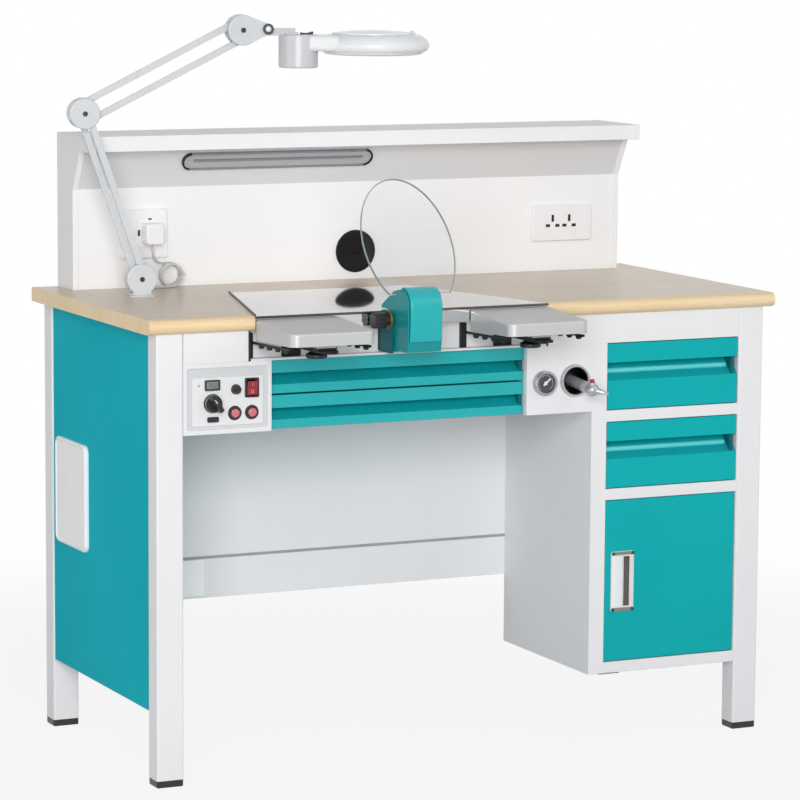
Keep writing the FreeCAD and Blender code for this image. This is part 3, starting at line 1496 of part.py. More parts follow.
def lamp_housing():
    """Round housing hung from the tilting pivot, with the pocket of its switch."""
    tilt = tilt_point()
    top = can_middle()
    can = rod(top - V(0, 0, can_height), V(0, 0, 1), can_radius, can_height)
    can = can.makeFillet(3, [e for e in can.Edges if e.BoundBox.ZLength < 1e-6])
    eye = rod(tilt - V(0, bar_thick / 2, 0), V(0, 1, 0), tilt_radius, bar_thick)
    stem = box(tilt.x, top.x - stem_thick, -stem_thick / 2, stem_thick / 2, top.z - 2, tilt.z + 1)
    pad = box(top.x - 24, top.x - 2, -9, 9, top.z - 2, top.z + 4)
    pad = pad.makeFillet(3, along(pad, "z"))
    housing = can.fuse([eye, stem, pad])
    housing = housing.cut(rod(tilt - V(0, bar_thick, 0), V(0, 1, 0), bar_pin + pin_fit, 2 * bar_thick))
    x = top.x + switch_reach
    end = switch_half + switch_room
    side = switch_width / 2 + switch_room
    pocket = box(x - end, x + end, -side, side, top.z - 8, top.z)
    reach = switch_width / 2 + switch_pin_reach + slide_gap
    bore = rod(V(x, -reach, top.z - switch_axle), V(0, 1, 0), switch_pin + pin_fit, 2 * reach)
    return lamp_place(housing.cut(pocket).cut(bore).removeSplitter())


def lamp_switch():
    """Rocker of the lamp's switch."""
    top = can_middle()
    half = switch_half
    y = -switch_width / 2
    x = top.x + switch_reach
    points = [V(x - half, y, top.z + 3.5), V(x, y, top.z + 2), V(x + half, y, top.z + 5),
              V(x + half - 2, y, top.z - 5), V(x - half + 2, y, top.z - 5)]
    cap = face_of(points).extrude(V(0, switch_width, 0))
    reach = switch_width / 2 + switch_pin_reach
    axle = rod(V(x, -reach, top.z - switch_axle), V(0, 1, 0), switch_pin, 2 * reach)
    return lamp_place(cap.fuse(axle).removeSplitter())


def dish_middle():
    top = can_middle()
    return V(top.x + dish_reach, 0, top.z - dish_drop)


def lamp_head():
    """Ring-shaped lamp head, open in the middle for the lens, with a neck to the housing."""
    middle = dish_middle()
    r = dish_radius
    h = dish_height
    outer = [Part.LineSegment(V(lens_radius, 0, 0), V(r - 6, 0, 0)).toShape(),
             Part.Arc(V(r - 6, 0, 0), V(r - 1, 0, 6), V(r, 0, 13)).toShape(),
             Part.Arc(V(r, 0, 13), V(r - 9, 0, h - 6), V(r - lid_inset, 0, h)).toShape(),
             Part.LineSegment(V(r - lid_inset, 0, h), V(lens_radius, 0, h)).toShape(),
             Part.LineSegment(V(lens_radius, 0, h), V(lens_radius, 0, 0)).toShape()]
    ring = Part.Face(Part.Wire(outer)).revolve(V(0, 0, 0), V(0, 0, 1), 360)
    ring.translate(middle)
    top = can_middle()
    low = middle.z + 1
    plan = [V(top.x, -neck_root, low), V(middle.x - neck_meet, -neck_spread, low),
            V(middle.x - neck_meet, neck_spread, low), V(top.x, neck_root, low)]
    neck = face_of(plan).extrude(V(0, 0, h - 2.5))
    sides = [e for e in neck.Edges if e.BoundBox.XLength > 1]
    neck = neck.makeFillet(neck_round, sides)
    neck = neck.cut(rod(top - V(0, 0, 2 * can_height), V(0, 0, 1), can_radius + seat_fit, 3 * can_height))
    return lamp_place(ring.fuse(neck).removeSplitter())


def turned(points):
    """Solid of revolution about a vertical axis, from an outline in radius and height."""
    return face_of([V(r, 0, z) for r, z in points]).revolve(V(0, 0, 0), V(0, 0, 1), 360)


def lamp_lens():
    """Biconvex magnifying lens in the ring."""
    middle = dish_middle()
    r = lens_radius - seat_fit
    ball = (r * r + lens_crown * lens_crown) / (2 * lens_crown)
    rim_part = rod(V(0, 0, -lens_crown - lens_edge), V(0, 0, 1), r, 2 * (lens_crown + lens_edge))
    low = ball - lens_crown - lens_edge / 2
    lens = rim_part.common(Part.makeSphere(ball, V(0, 0, low))).common(Part.makeSphere(ball, V(0, 0, -low)))
    lens.translate(middle + V(0, 0, dish_height / 2))
    return lamp_place(lens)


def lid_hinge():
    middle = dish_middle()
    return V(middle.x + dish_radius - lid_inset, 0, middle.z + dish_height + slide_gap + lid_knuckle)


def lens_cover():
    """Shallow domed lid over the lens, hinged at the lamp's outer end."""
    r = dish_radius - lid_inset
    steps = 8
    outer = []
    inner = []
    for i in range(steps + 1):
        k = i / steps
        rise = lid_height * (1 - k * k)
        outer.append((r * k, rise + lid_skin))
        inner.append(((r - lid_skin) * k, rise))
    lid = turned(outer + [(r, 0)] + inner[::-1])
    lid.translate(dish_middle() + V(0, 0, dish_height + slide_gap))
    point = lid_hinge()
    knuckle = rod(point - V(0, 9, 0), V(0, 1, 0), lid_knuckle, 18)
    return lamp_place(lid.fuse(knuckle).removeSplitter())


def arc_from(a, way, b):
    """Arc that leaves a point along a direction and ends at another point."""
    chord = b - a
    run = chord.Length
    unit = chord * (1 / run)
    side = way - unit * way.dot(unit)
    if side.Length < 1e-9:
        return Part.LineSegment(a, b).toShape()
    half_turn = math.atan2(side.Length, way.dot(unit))
    side.normalize()
    return Part.Arc(a, (a + b) * 0.5 + side * (run / 2 * math.tan(half_turn / 2)), b).toShape()


def biarc(a, way_a, b, way_b):
    """Two arcs that join two points with given directions."""
    v = b - a
    t = way_a + way_b
    k = 2 * (1 - way_a.dot(way_b))
    vt = v.dot(t)
    if k < 1e-9:
        d = v.dot(v) / (4 * v.dot(way_b))
    else:
        d = (-vt + math.sqrt(vt * vt + k * v.dot(v))) / k
    joint = (a + way_a * d + b - way_b * d) * 0.5
    back = arc_from(b, way_b * -1, joint)
    first = arc_from(a, way_a, joint)
    return [first, back]


def tube(edges, start, way):
    """Round tube along a line of edges."""
    path = Part.Wire(Part.__sortEdges__(edges))
    ring = Part.Wire([Part.Circle(start, way, cord_radius).toShape()])
    return path.makePipeShell([ring], True, False), path


def coil_middle():
    return V(coil_x, splash_y - cord_radius - coil_stand, top_height + slide_gap + cord_radius + coil_loop)


def coil_point(turn):
    """Point and direction of the coil after some turns from its top, winding to the right and forward."""
    angle = 2 * math.pi * turn
    middle = coil_middle()
    point = middle + V(coil_loop * math.sin(angle), -coil_pitch * turn, coil_loop * math.cos(angle))
    round_way = 2 * math.pi * coil_loop
    way = V(round_way * math.cos(angle), -coil_pitch, -round_way * math.sin(angle))
    way.normalize()
    return point, way


def least_coil_gap():
    """Least distance between neighbouring turns, measured on points, less the cord's thickness."""
    count = 24
    points = [coil_point(i / count)[0] for i in range(count * coil_turns)]
    gap = 1e9
    for i, a in enumerate(points):
        for b in points[i + count // 2:]:
            gap = min(gap, (b - a).Length)
    return gap - 2 * cord_radius


def cord_coil():
    """Wound spare length of the lead, and its tail to the gland on the lamp's foot."""
    turns = coil_turns + 0.5
    steps = int(turns * 4)
    start, way = coil_point(0)
    edges = [Part.LineSegment(start - way * 2 * cord_radius, start).toShape()]
    for i in range(steps):
        a, way_a = coil_point(i / 4)
        b, way_b = coil_point((i + 1) / 4)
        edges += biarc(a, way_a, b, way_b)
    end, way_end = coil_point(turns)
    mouth = gland_mouth()
    lead = mouth + V(0, 2 * cord_radius, 0)
    edges += biarc(end, way_end, lead, V(0, -1, 0))
    edges.append(Part.LineSegment(lead, mouth).toShape())
    return tube(edges, start - way * 2 * cord_radius, way)


def rounded_path(points):
    """Straight runs joined by tangent arcs, each as large as its two runs allow."""
    edges = []
    radii = []
    last = points[0]
    for before, corner, after in zip(points, points[1:], points[2:]):
        into = (before - corner)
        out = (after - corner)
        short = min(into.Length, out.Length)
        into.normalize()
        out.normalize()
        turn = math.pi - into.getAngle(out)
        back = 0.45 * short
        radii.append(back / math.tan(turn / 2))
        a = corner + into * back
        b = corner + out * back
        edges.append(Part.LineSegment(last, a).toShape())
        edges.append(arc_from(a, into * -1, b))
        last = b
    edges.append(Part.LineSegment(last, points[-1]).toShape())
    return edges, radii


def plug_exit():
    return V(plug_x, splash_y - socket_thick - plug_depth * 0.4, top_height + plug_mid - plug_height / 2)


def lamp_cord():
    """Short free run from the plug down on to the coil."""
    start = plug_exit()
    coil_start, way = coil_point(0)
    end = coil_start - way * 2 * cord_radius
    fall = end - start
    first = start + V(0, 0, 0.42 * fall.z)
    third = end - way * (0.45 * fall.x)
    second = start + V(0.2 * fall.x, 0.45 * fall.y, 0.8 * fall.z)
    points = [start, first, second, third, end]
    edges, radii = rounded_path(points)
    solid, path = tube(edges, start, V(0, 0, -1))
    return solid, path, radii


def lamp_plug():
    """Moulded plug in the left outlet."""
    y1 = splash_y - socket_thick
    z = top_height + plug_mid
    plug = box(plug_x - plug_width / 2, plug_x + plug_width / 2, y1 - plug_depth, y1,
               z - plug_height / 2, z + plug_height / 2)
    plug = plug.makeFillet(7, along(plug, "y"))
    return plug.makeFillet(3, [e for e in plug.Edges if e.BoundBox.YMax < y1 - plug_depth + 1e-6])


upper_level, lower_level, door_level = levels()
save("left_end_frame", end_frame(-1))
save("right_end_frame", end_frame(1))
save("foot_caps", *foot_caps())
save("tabletop", tabletop())
save("edge_band", *edge_band())
save("work_plate", work_plate())
save("side_panels", *side_panels())
save("access_cover", access_cover())
save("knee_panel", knee_panel())
save("lower_rail", *lower_rail())
save("rear_panel", rear_panel())
save("front_fascia", front_fascia())
save("recess_rim", recess_rim())
save("cabinet_shell", cabinet_shell())
save("drawer_runners", *drawer_runners())
save("control_box", *control_box())
save("control_inserts", *control_inserts())
save("gauge_box", gauge_box())
save("upstand_shell", *upstand_shell())
save("light_bezel", light_bezel())
save("light_diffuser", light_diffuser())
save("grommet", grommet())
save("socket_plates", *socket_plates())
save("upper_drawer", drawer(upper_level))
save("lower_drawer", drawer(lower_level))
save("upper_tray", tray(box_bottom + box_height / 2, box_height / 2))
save("lower_tray", tray(box_bottom, box_height / 2))
save("cabinet_door", cabinet_door())
save("door_handle", door_handle())
save("speed_knob", speed_knob())
save("rocker_switch", rocker_switch())
save("left_button", push_button(button_left_at))
save("right_button", push_button(button_right_at))
save("pressure_gauge", pressure_gauge())
save("gun_holder", gun_holder())
save("air_gun", air_gun())
save("gun_button", gun_button())
save("suction_body", *suction_body())
save("suction_knob", suction_knob())
save("glass_shield", glass_plate(glass_half_width, glass_half_height, glass_thick)
     .cut(lean_block(glass_cut, 3 * glass_half_width, 4 * glass_thick, glass_half_height)))
save("left_armrest", armrest(-1))
save("right_armrest", armrest(1))
save("work_brackets", *work_brackets())
save("lamp_base", lamp_base())
save("lamp_post", lamp_post())
save("lower_arm", lamp_place(bar(base_middle(), 1, lower_way(), lower_length, -layer)))
save("lower_link", lamp_place(bar(base_middle(), -1, lower_way(), lower_length, layer)))
save("elbow_bracket", elbow_bracket())
save("upper_arm", lamp_place(bar(elbow_middle(), 1, upper_way(), upper_length, 0)))
save("upper_link", lamp_place(bar(elbow_middle(), -1, upper_way(), upper_length, 0)))
save("head_bracket", head_bracket())
save("lamp_housing", lamp_housing())
save("lamp_switch", lamp_switch())
save("lamp_head", lamp_head())
save("lamp_lens", lamp_lens())
save("lens_cover", lens_cover())
save("lamp_plug", lamp_plug())
save("extractor", *extractor())
cord, cord_path, cord_radii = lamp_cord()
save("lamp_cord", cord)
coil, coil_path = cord_coil()
save("cord_coil", coil)
section = math.pi * cord_radius ** 2
print("cord radii", [round(r, 1) for r in cord_radii])
print("cord length", round(cord_path.Length, 1), "volume over section", round(cord.Volume / section, 1))
print("coil length", round(coil_path.Length, 1), "volume over section", round(coil.Volume / section, 1))
print("least gap in the coil", round(least_coil_gap(), 2))
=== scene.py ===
import json
import math

import bmesh
import bpy
import numpy as np
from mathutils import Matrix, Vector


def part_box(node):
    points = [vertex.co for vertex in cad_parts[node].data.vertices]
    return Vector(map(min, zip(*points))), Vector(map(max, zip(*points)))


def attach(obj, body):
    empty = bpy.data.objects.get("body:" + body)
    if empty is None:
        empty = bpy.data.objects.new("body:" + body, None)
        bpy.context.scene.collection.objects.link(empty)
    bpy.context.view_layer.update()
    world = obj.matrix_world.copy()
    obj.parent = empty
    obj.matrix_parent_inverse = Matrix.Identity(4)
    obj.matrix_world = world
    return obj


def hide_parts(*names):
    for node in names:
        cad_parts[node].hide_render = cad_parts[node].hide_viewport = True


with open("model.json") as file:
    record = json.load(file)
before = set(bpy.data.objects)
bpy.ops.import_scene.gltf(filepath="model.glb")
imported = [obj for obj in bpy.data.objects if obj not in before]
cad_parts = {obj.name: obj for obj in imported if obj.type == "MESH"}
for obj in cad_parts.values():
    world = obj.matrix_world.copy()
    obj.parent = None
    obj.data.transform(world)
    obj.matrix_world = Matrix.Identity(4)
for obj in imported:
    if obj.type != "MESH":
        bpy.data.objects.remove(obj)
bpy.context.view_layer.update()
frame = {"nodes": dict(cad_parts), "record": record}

nodes = frame["nodes"]
print("frame loaded:", len(nodes), "nodes")

scene = bpy.context.scene
scene.view_settings.view_transform = "Standard"


# a dictionary whose entries are also read as spec.entry
class Spec(dict):
    __getattr__ = dict.__getitem__


def addObject(name, data):
    made = bpy.data.objects.new(name, data)
    scene.collection.objects.link(made)
    return made


# camera at the photograph's place, worked out from the table's and legs' edges
benchCamera = Spec(
    place=(-2.76957, -5.77422, 1.48156), right=(0.90449, -0.42637, 0.00674), up=(0.05176, 0.12546, 0.99066),
    forward=(0.42326, 0.89576, -0.13555), lens=163.45, sensor=36, farthest=100)


def addCamera(spec):
    # turned so that its own X, Y and -Z lie along right, up and forward
    data = bpy.data.cameras.new("benchCamera")
    data.sensor_fit = "HORIZONTAL"
    data.sensor_width = spec.sensor
    data.lens = spec.lens
    data.clip_end = spec.farthest
    camera = addObject("benchCamera", data)
    turn = Matrix((spec.right, spec.up, -Vector(spec.forward))).transposed()
    camera.matrix_world = Matrix.Translation(spec.place) @ turn.to_4x4()
    scene.camera = camera


addCamera(benchCamera)


# finishes: Sock is one output of a node, and sums on it add Math nodes
class Sock:
    def __init__(self, finish, out):
        self.finish = finish
        self.out = out

    def maths(self, operation, *values):
        return self.finish.node("Math", dict(enumerate(values)), operation=operation)[0]

    def __add__(self, other):
        return self.maths("ADD", self, other)

    def __sub__(self, other):
        return self.maths("SUBTRACT", self, other)

    def __rsub__(self, other):
        return self.maths("SUBTRACT", other, self)

    def __mul__(self, other):
        return self.maths("MULTIPLY", self, other)

    def __truediv__(self, other):
        return self.maths("DIVIDE", self, other)

    def __rtruediv__(self, other):
        return self.maths("DIVIDE", other, self)

    def __pow__(self, other):
        return self.maths("POWER", self, other)

    def most(self, other):
        return self.maths("MAXIMUM", self, other)

    __radd__, __rmul__ = __add__, __mul__

    def wave(self):
        return self.maths("SINE", self)

    def above(self, level, soft):
        # 0 below the level, 1 above it, with a smooth step from soft under it to soft over it
        sockets = {"Value": self, "From Min": level - soft, "From Max": level + soft}
        return self.finish.node("MapRange", sockets, interpolation_type="SMOOTHSTEP")[0]


inlaySoft = 0.0002  # half the width over which one inlaid colour turns to the next, in metres


class Finish:
    def __init__(self, owner):
        # the nodes of a material or a world
        self.owner = owner
        owner.use_nodes = True
        self.tree = owner.node_tree
        self.tree.nodes.clear()
        self.places = None

    def node(self, kind, sockets=None, **settings):
        made = self.tree.nodes.new("ShaderNode" + kind)
        for key, value in settings.items():
            setattr(made, key, value)
        for key, value in (sockets or {}).items():
            if isinstance(value, Sock):
                self.tree.links.new(value.out, made.inputs[key])
            elif value is not None:
                made.inputs[key].default_value = value
        outs = {out.name: Sock(self, out) for out in made.outputs}
        outs.update({i: Sock(self, out) for i, out in enumerate(made.outputs)})
        return outs

    def place(self):
        if self.places is None:
            self.places = self.node("TexCoord")["Object"]
        return self.places

    def along(self):
        # the three coordinates of a point, in metres
        made = self.node("SeparateXYZ", {0: self.place()})
        return made[0], made[1], made[2]

    def around(self, middle):
        # how far a point lies across and above a line along Y, and its distance from that line
        x, _, z = self.along()
        across, rise = x - middle[0], z - middle[1]
        return across, rise, (across * across + rise * rise) ** 0.5

    def noise(self, scale, detail=2, rough=0.5, warp=0, turn=(0, 0, 0)):
        # a scale of three numbers stretches the pattern along the axes, and turn then turns it
        place = self.place()
        if isinstance(scale, tuple):
            place = self.node("Mapping", {"Vector": place, "Scale": scale, "Rotation": turn})[0]
            scale = 1
        sockets = {"Vector": place, "Scale": scale, "Detail": detail, "Roughness": rough, "Distortion": warp}
        return self.node("TexNoise", sockets)[0]

    def mix(self, amount, *colours):
        # each colour is an output of a node or six hex digits
        first, second = (tone(c) if isinstance(c, str) else c for c in colours)
        return self.node("Mix", {0: amount, 6: first, 7: second}, data_type="RGBA", clamp_result=True)[2]

    def bump(self, height, distance, strength=1, normal=None):
        sockets = {"Height": height, "Distance": distance, "Strength": strength, "Normal": normal}
        return self.node("Bump", sockets)[0]

    def rounded(self, radius):
        # soft edge: the normal is averaged over a small radius
        return self.node("Bevel", {"Radius": radius}, samples=6)[0]

    def inside(self, spans):
        # 1 inside a box given by its low and high on the axes named, None where a side is open
        share = 1
        for axis, place in zip("xyz", self.along()):
            low, high = spans.get(axis, (None, None))
            if low is not None:
                share = share * place.above(low, inlaySoft)
            if high is not None:
                share = share * (1 - place.above(high, inlaySoft))
        return share

    def sunk(self, colour, well):
        # another colour in a round hole along Y, here the painted shade of the hole: nearer its middle line
        # than the radius, behind its front
        near = 1 - self.around(well.middle)[2].above(well.radius, inlaySoft)
        deep = self.along()[1].above(well.front, inlaySoft)
        return self.mix(near * deep, colour, well.colour)

    def surface(self, spec, colour, rough, normal=None, **others):
        # the inlays and the round well that a spec gives lie over its colour
        for spans, inlay in spec.get("inlays", ()):
            colour = self.mix(self.inside(spans), colour, inlay)
        if "well" in spec:
            colour = self.sunk(colour, spec.well)
        sockets = {key.replace("_", " "): value for key, value in others.items()}
        sockets.update({"Base Color": colour, "Roughness": rough, "Normal": normal})
        shader = self.node("BsdfPrincipled", sockets)[0]
        self.node("OutputMaterial", {"Surface": shader})
        return self.owner


def tone(text):
    # screen colour written as six hex digits, turned to linear light
    parts = np.array([int(text[i:i + 2], 16) for i in (0, 2, 4)]) / 255
    light = np.where(parts <= 0.04045, parts / 12.92, ((parts + 0.055) / 1.055) ** 2.4)
    return tuple(float(v) for v in light) + (1,)


finishes = {}


def addFinish(make, names, base=(), **changes):
    # the base's values with the changes; names are the material's own, then the slots and nodes that wear it
    spec = Spec(base, **changes)
    names = names.split()
    material = make(Finish(bpy.data.materials.new(names[0])), spec)
    finishes.update(dict.fromkeys(names, material))
    return spec


def paint(f, spec):
    # sprayed powder paint: fine orange peel, broad cloudy tone, dust low down
    z = f.along()[2]
    cloud = f.noise(spec.cloud, 3)
    peel = f.noise(spec.peel, 2, 0.4)
    speck = f.noise(spec.peel * 0.35, 4, 0.7)
    colour = f.mix(cloud.above(0.5, 0.25) * spec.cloudMix, spec.colour, spec.shade)
    dust = (1 - z.above(spec.dustTop, spec.dustTop)) * speck.above(0.52, 0.2) * spec.dust
    colour = f.mix(dust, colour, spec.dustColour)
    rough = spec.rough + (cloud - 0.5) * 0.1 + dust * 0.2
    normal = f.bump(peel, spec.peelDepth, 0.5, f.rounded(spec.edge))
    return f.surface(spec, colour, rough, normal, Specular_IOR_Level=spec.gloss)


whiteCoat = addFinish(
    paint, "whitePaint white_paint", colour="ECECEE", shade="E4E5E8", cloud=2.2, cloudMix=0.7, peel=750,
    peelDepth=0.00012, rough=0.38, edge=0.0012, gloss=0.5, dust=0.18, dustTop=0.05, dustColour="B9B6B0")
# the cove under the upstand's hood is painted greyer: painted shade
cove = dict(x=(-0.5398, 0.5398), y=(None, 0.2893), z=(0.9745, 1.0446))
addFinish(paint, "splashPaint upstand_shell", whiteCoat, colour="F2F2F3", shade="EEEEF0", gloss=0.12,
          inlays=[(cove, "DDDEE0")])
# control box: the sunk margin round its faceplate is painted grey: painted shade
addFinish(paint, "controlPaint control_box", whiteCoat, inlays=[(dict(y=(-0.1987, -0.1965)), "D3D5D7")])
# lower rail: its front is painted whiter than the knee panel: painted light
addFinish(paint, "railPaint lower_rail", whiteCoat, inlays=[(dict(y=(None, 0.1304)), "FBFBFC")])
tealCoat = addFinish(
    paint, "tealPaint teal_paint", colour="0FB1B4", shade="0CA6AC", cloud=2.6, cloudMix=0.8, peel=700,
    peelDepth=0.00014, rough=0.42, edge=0.0014, gloss=0.12, dust=0.12, dustTop=0.1, dustColour="5FA8A8")
# side panels: the fronts' teal made lighter and bluer, as painted light on the sides; the lower gloss is the
# paint's own
addFinish(paint, "sidePaint side_panels", tealCoat, colour="0CBAC9", shade="0AB1C0", gloss=0.03, rough=0.5)
# teal for the drawers' beads, lightened and glossier: the lightness is a painted highlight
addFinish(paint, "rolledTeal", tealCoat, colour="58D3D6", shade="4ECBCF", gloss=0.5, rough=0.3, cloud=14)
# dark teal for the channels' end gussets and the strip round the head's lid: painted shade
addFinish(paint, "deepTeal", tealCoat, colour="0A6A70", shade="085E66", cloud=20)
addFinish(paint, "lidTeal", tealCoat, gloss=0.5, rough=0.26, cloud=9)
# finger channels of the drawers and trays are painted darker teal: painted shade
drawerChannel = dict(x=(0.26, 0.54), y=(-0.1991, -0.16))
trayChannel = dict(x=(-0.38, 0.11), y=(-0.1881, -0.16))
channels = [dict(drawerChannel, z=(0.65, 0.666)), dict(drawerChannel, z=(0.51, 0.526)),
            dict(trayChannel, z=(0.674, 0.693)), dict(trayChannel, z=(0.614, 0.633))]
frontCoat = addFinish(
    paint, "frontPaint upper_drawer lower_drawer", tealCoat,
    inlays=[(channel, "0B979E") for channel in channels])
addFinish(paint, "trayPaint upper_tray lower_tray", frontCoat, gloss=0.5, rough=0.3)
# the suction head's sides and chin are painted darker teal: painted shade
headPaintedShades = [(dict(x=(None, -0.1652)), "0B8E93"), (dict(x=(-0.1028, None)), "0B8E93"),
              (dict(y=(None, -0.28), z=(None, 0.7492)), "0C9094")]  # sides and chin
addFinish(paint, "headPaint suction_body", tealCoat, gloss=0.35, rough=0.3, inlays=headPaintedShades)
blackCoat = addFinish(
    paint, "blackPaint black_paint", whiteCoat, colour="1B1C1E", shade="26282A", cloud=9, cloudMix=0.8,
    peel=800, rough=0.42, edge=0.0008, dust=0.3, dustColour="55534F")
addFinish(paint, "rimPaint recess_rim", blackCoat,
          inlays=[(dict(x=(-0.413, 0.145), z=(None, 0.7221)), "E6E7E9")])
# the ears beside the suction head are teal, painted dark teal as painted shade
addFinish(paint, "bracketPaint work_brackets", blackCoat, gloss=0.15,
          inlays=[(dict(x=(-0.172, -0.096), y=(None, -0.1935)), "0B6066")])


def laminate(f, spec):
    # pressed laminate: long fine grain along the top, darker pores, a satin skin
    broad = f.noise((1.4, 14, 14), 4, 0.6, 0.4)
    grain = f.noise((9, 260, 260), 6, 0.65)
    pores = f.noise((45, 900, 900)).above(0.66, 0.05)
    colour = f.mix(broad.above(0.5, 0.2), spec.colour, spec.shade)
    colour = f.mix(grain.above(0.55, 0.15) * spec.grain, colour, spec.line)
    colour = f.mix(pores * spec.pore, colour, spec.poreColour)
    rough = spec.rough + (grain - 0.5) * 0.12 + pores * 0.1
    normal = f.bump(grain - pores * 0.5, spec.depth, 0.4)
    return f.surface(spec, colour, rough, normal, Coat_Weight=spec.coat, Coat_Roughness=0.12)


addFinish(laminate, "laminateTop laminate", colour="D3C2AC", shade="CBBAA4", line="C1AF97", grain=0.45,
          pore=0.3, poreColour="A59380", rough=0.36, depth=0.00005, coat=0.2)
addFinish(laminate, "beechEdge beech", colour="F2DBB3", shade="EBD0A3", line="DFBD89", grain=0.5, pore=0.4,
          poreColour="C29C68", rough=0.42, depth=0.0001, coat=0.1)


def sheetMetal(f, spec):
    # rolled sheet: hair-fine rubbing along one way, cloudy smears, a slight crown that bends reflections
    hair = f.noise(spec.hair, 3, 0.6)
    smear = f.noise(6, 4, 0.6, 0.6)
    marks = f.noise(spec.scratch, 1, turn=(0, 0, 0.35)).above(0.72, 0.02) * 0.5
    colour = f.mix(smear.above(0.5, 0.25), spec.colour, spec.shade)
    colour = f.mix(marks * 0.3, colour, spec.mark)
    rough = spec.rough + (hair - 0.5) * spec.hairMix + smear.above(0.6, 0.2) * spec.smear + marks * 0.1
    offset = f.along()[1] - spec.crownAt
    crown = f.bump(offset * offset * -spec.crown, 1)
    return f.surface(spec, colour, rough, f.bump(hair, spec.depth, 0.3, crown), Metallic=1)


# the work plate's front edge is painted dark: painted shade
plateFront = dict(y=(None, -0.212), z=(0.7908, None))
addFinish(sheetMetal, "stainlessPlate stainless", colour="CDCDCF", shade="C2C3C5", mark="A5A6A8", rough=0.07,
          hair=(6, 900, 900), scratch=(20, 1400, 20), hairMix=0.05, smear=0.05, crown=0.0908, crownAt=0.06,
          depth=0.00001, inlays=[(plateFront, "5B5755")])


def galvanised(f, spec):
    # zinc skin: flat crystals of differing tone, each a little rougher or smoother
    crystal = f.node("TexVoronoi", {"Vector": f.place(), "Scale": spec.crystal})["Color"]
    part = f.node("SeparateColor", {0: crystal})
    fine = f.noise(500, 3)
    colour = f.mix(part[0], spec.colour, spec.shade)
    rough = spec.rough + part[1] * 0.18 + (fine - 0.5) * 0.1
    return f.surface(spec, colour, rough, f.bump(fine, 0.00005, 0.3), Metallic=1)


addFinish(galvanised, "zincSkin zinc", colour="B9BCBE", shade="8F9498", crystal=90, rough=0.28)


def casting(f, spec):
    # lacquered or turned metal: flake speckle, soft pitting, patches rubbed bright
    flake = f.noise(spec.flake, 2, 0.8)
    pit = f.noise(spec.pit, 3, 0.6)
    rub = f.noise(14, 4, 0.6).above(0.6, 0.15)
    colour = f.mix(flake.above(0.55, 0.15) * 0.6, spec.colour, spec.bright)
    colour = f.mix(pit.above(0.62, 0.06) * 0.35, colour, spec.dark)
    colour = f.mix(rub * 0.25, colour, spec.bright)
    rough = spec.rough + (flake - 0.5) * 0.2 - rub * 0.06
    normal = f.bump(pit, spec.depth, 0.5, f.rounded(spec.edge))
    return f.surface(spec, colour, rough, normal, Metallic=spec.metal)


silver = addFinish(
    casting, "silverCasting aluminium", colour="BFC0C1", bright="CDCECF", dark="A9AAAC", flake=1800, pit=420,
    rough=0.4, depth=0.00006, edge=0.0015, metal=0.25)
addFinish(casting, "restCasting left_armrest right_armrest", silver,
          inlays=[(dict(z=(None, 0.752)), "1B1C1D")])  # dark clamp under the pad
turnedMetal = addFinish(
    casting, "turnedMetal pressure_gauge", colour="9C9DA0", bright="C6C7C9", dark="6B6C70", flake=2600,
    pit=700, rough=0.3, depth=0.00005, edge=0.0004, metal=0.85)
# the bore of the gun's holder is painted near black: painted shade in the hole
addFinish(casting, "holderRing gun_holder", turnedMetal, colour="B4B5B7", bright="CFD0D1",
          well=Spec(middle=(0.2025, 0.655), radius=0.0236, front=-0.206, colour="17181A"))
addFinish(casting, "brassDisc", turnedMetal, colour="8C7350", bright="B2976C", dark="5E4B30", flake=2400,
          pit=800, rough=0.32, depth=0.00004, metal=0.8)
addFinish(casting, "bezelMetal light_bezel", turnedMetal, colour="8F9296", bright="A5A8AB", dark="797C80",
          metal=0.3, inlays=[(dict(x=(None, -0.3355)), "2E2F31"), (dict(x=(0.0075, None)), "2E2F31")])


def moulded(f, spec):
    # moulded plastic: fine spark-eroded grain, faint flow clouds, scuffs with a slight change of sheen
    flow = f.noise(spec.flow, 3, 0.55, 0.8)
    grain = f.noise(spec.grain, 2, 0.6)
    scuffs = f.noise((90, 900, 300), 3, 0.6, turn=(0.3, 0.2, 0.5)).above(0.7, 0.04)
    colour = f.mix(flow.above(0.5, 0.25), spec.colour, spec.shade)
    colour = f.mix(scuffs * spec.scuff, colour, spec.scuffColour)
    rough = spec.rough + (grain - 0.5) * 0.14 + scuffs * 0.12
    edge = f.rounded(spec.edge) if spec.edge else None
    normal = f.bump(grain, spec.depth, 0.5, edge)
    return f.surface(spec, colour, rough, normal, Specular_IOR_Level=spec.gloss)


whiteMould = addFinish(
    moulded, "whiteMoulding white_plastic", colour="F0F0F1", shade="EBEBED", flow=12, grain=900, scuff=0.1,
    scuffColour="D5D5D5", rough=0.3, depth=0.00004, edge=0.0008, gloss=0.5)
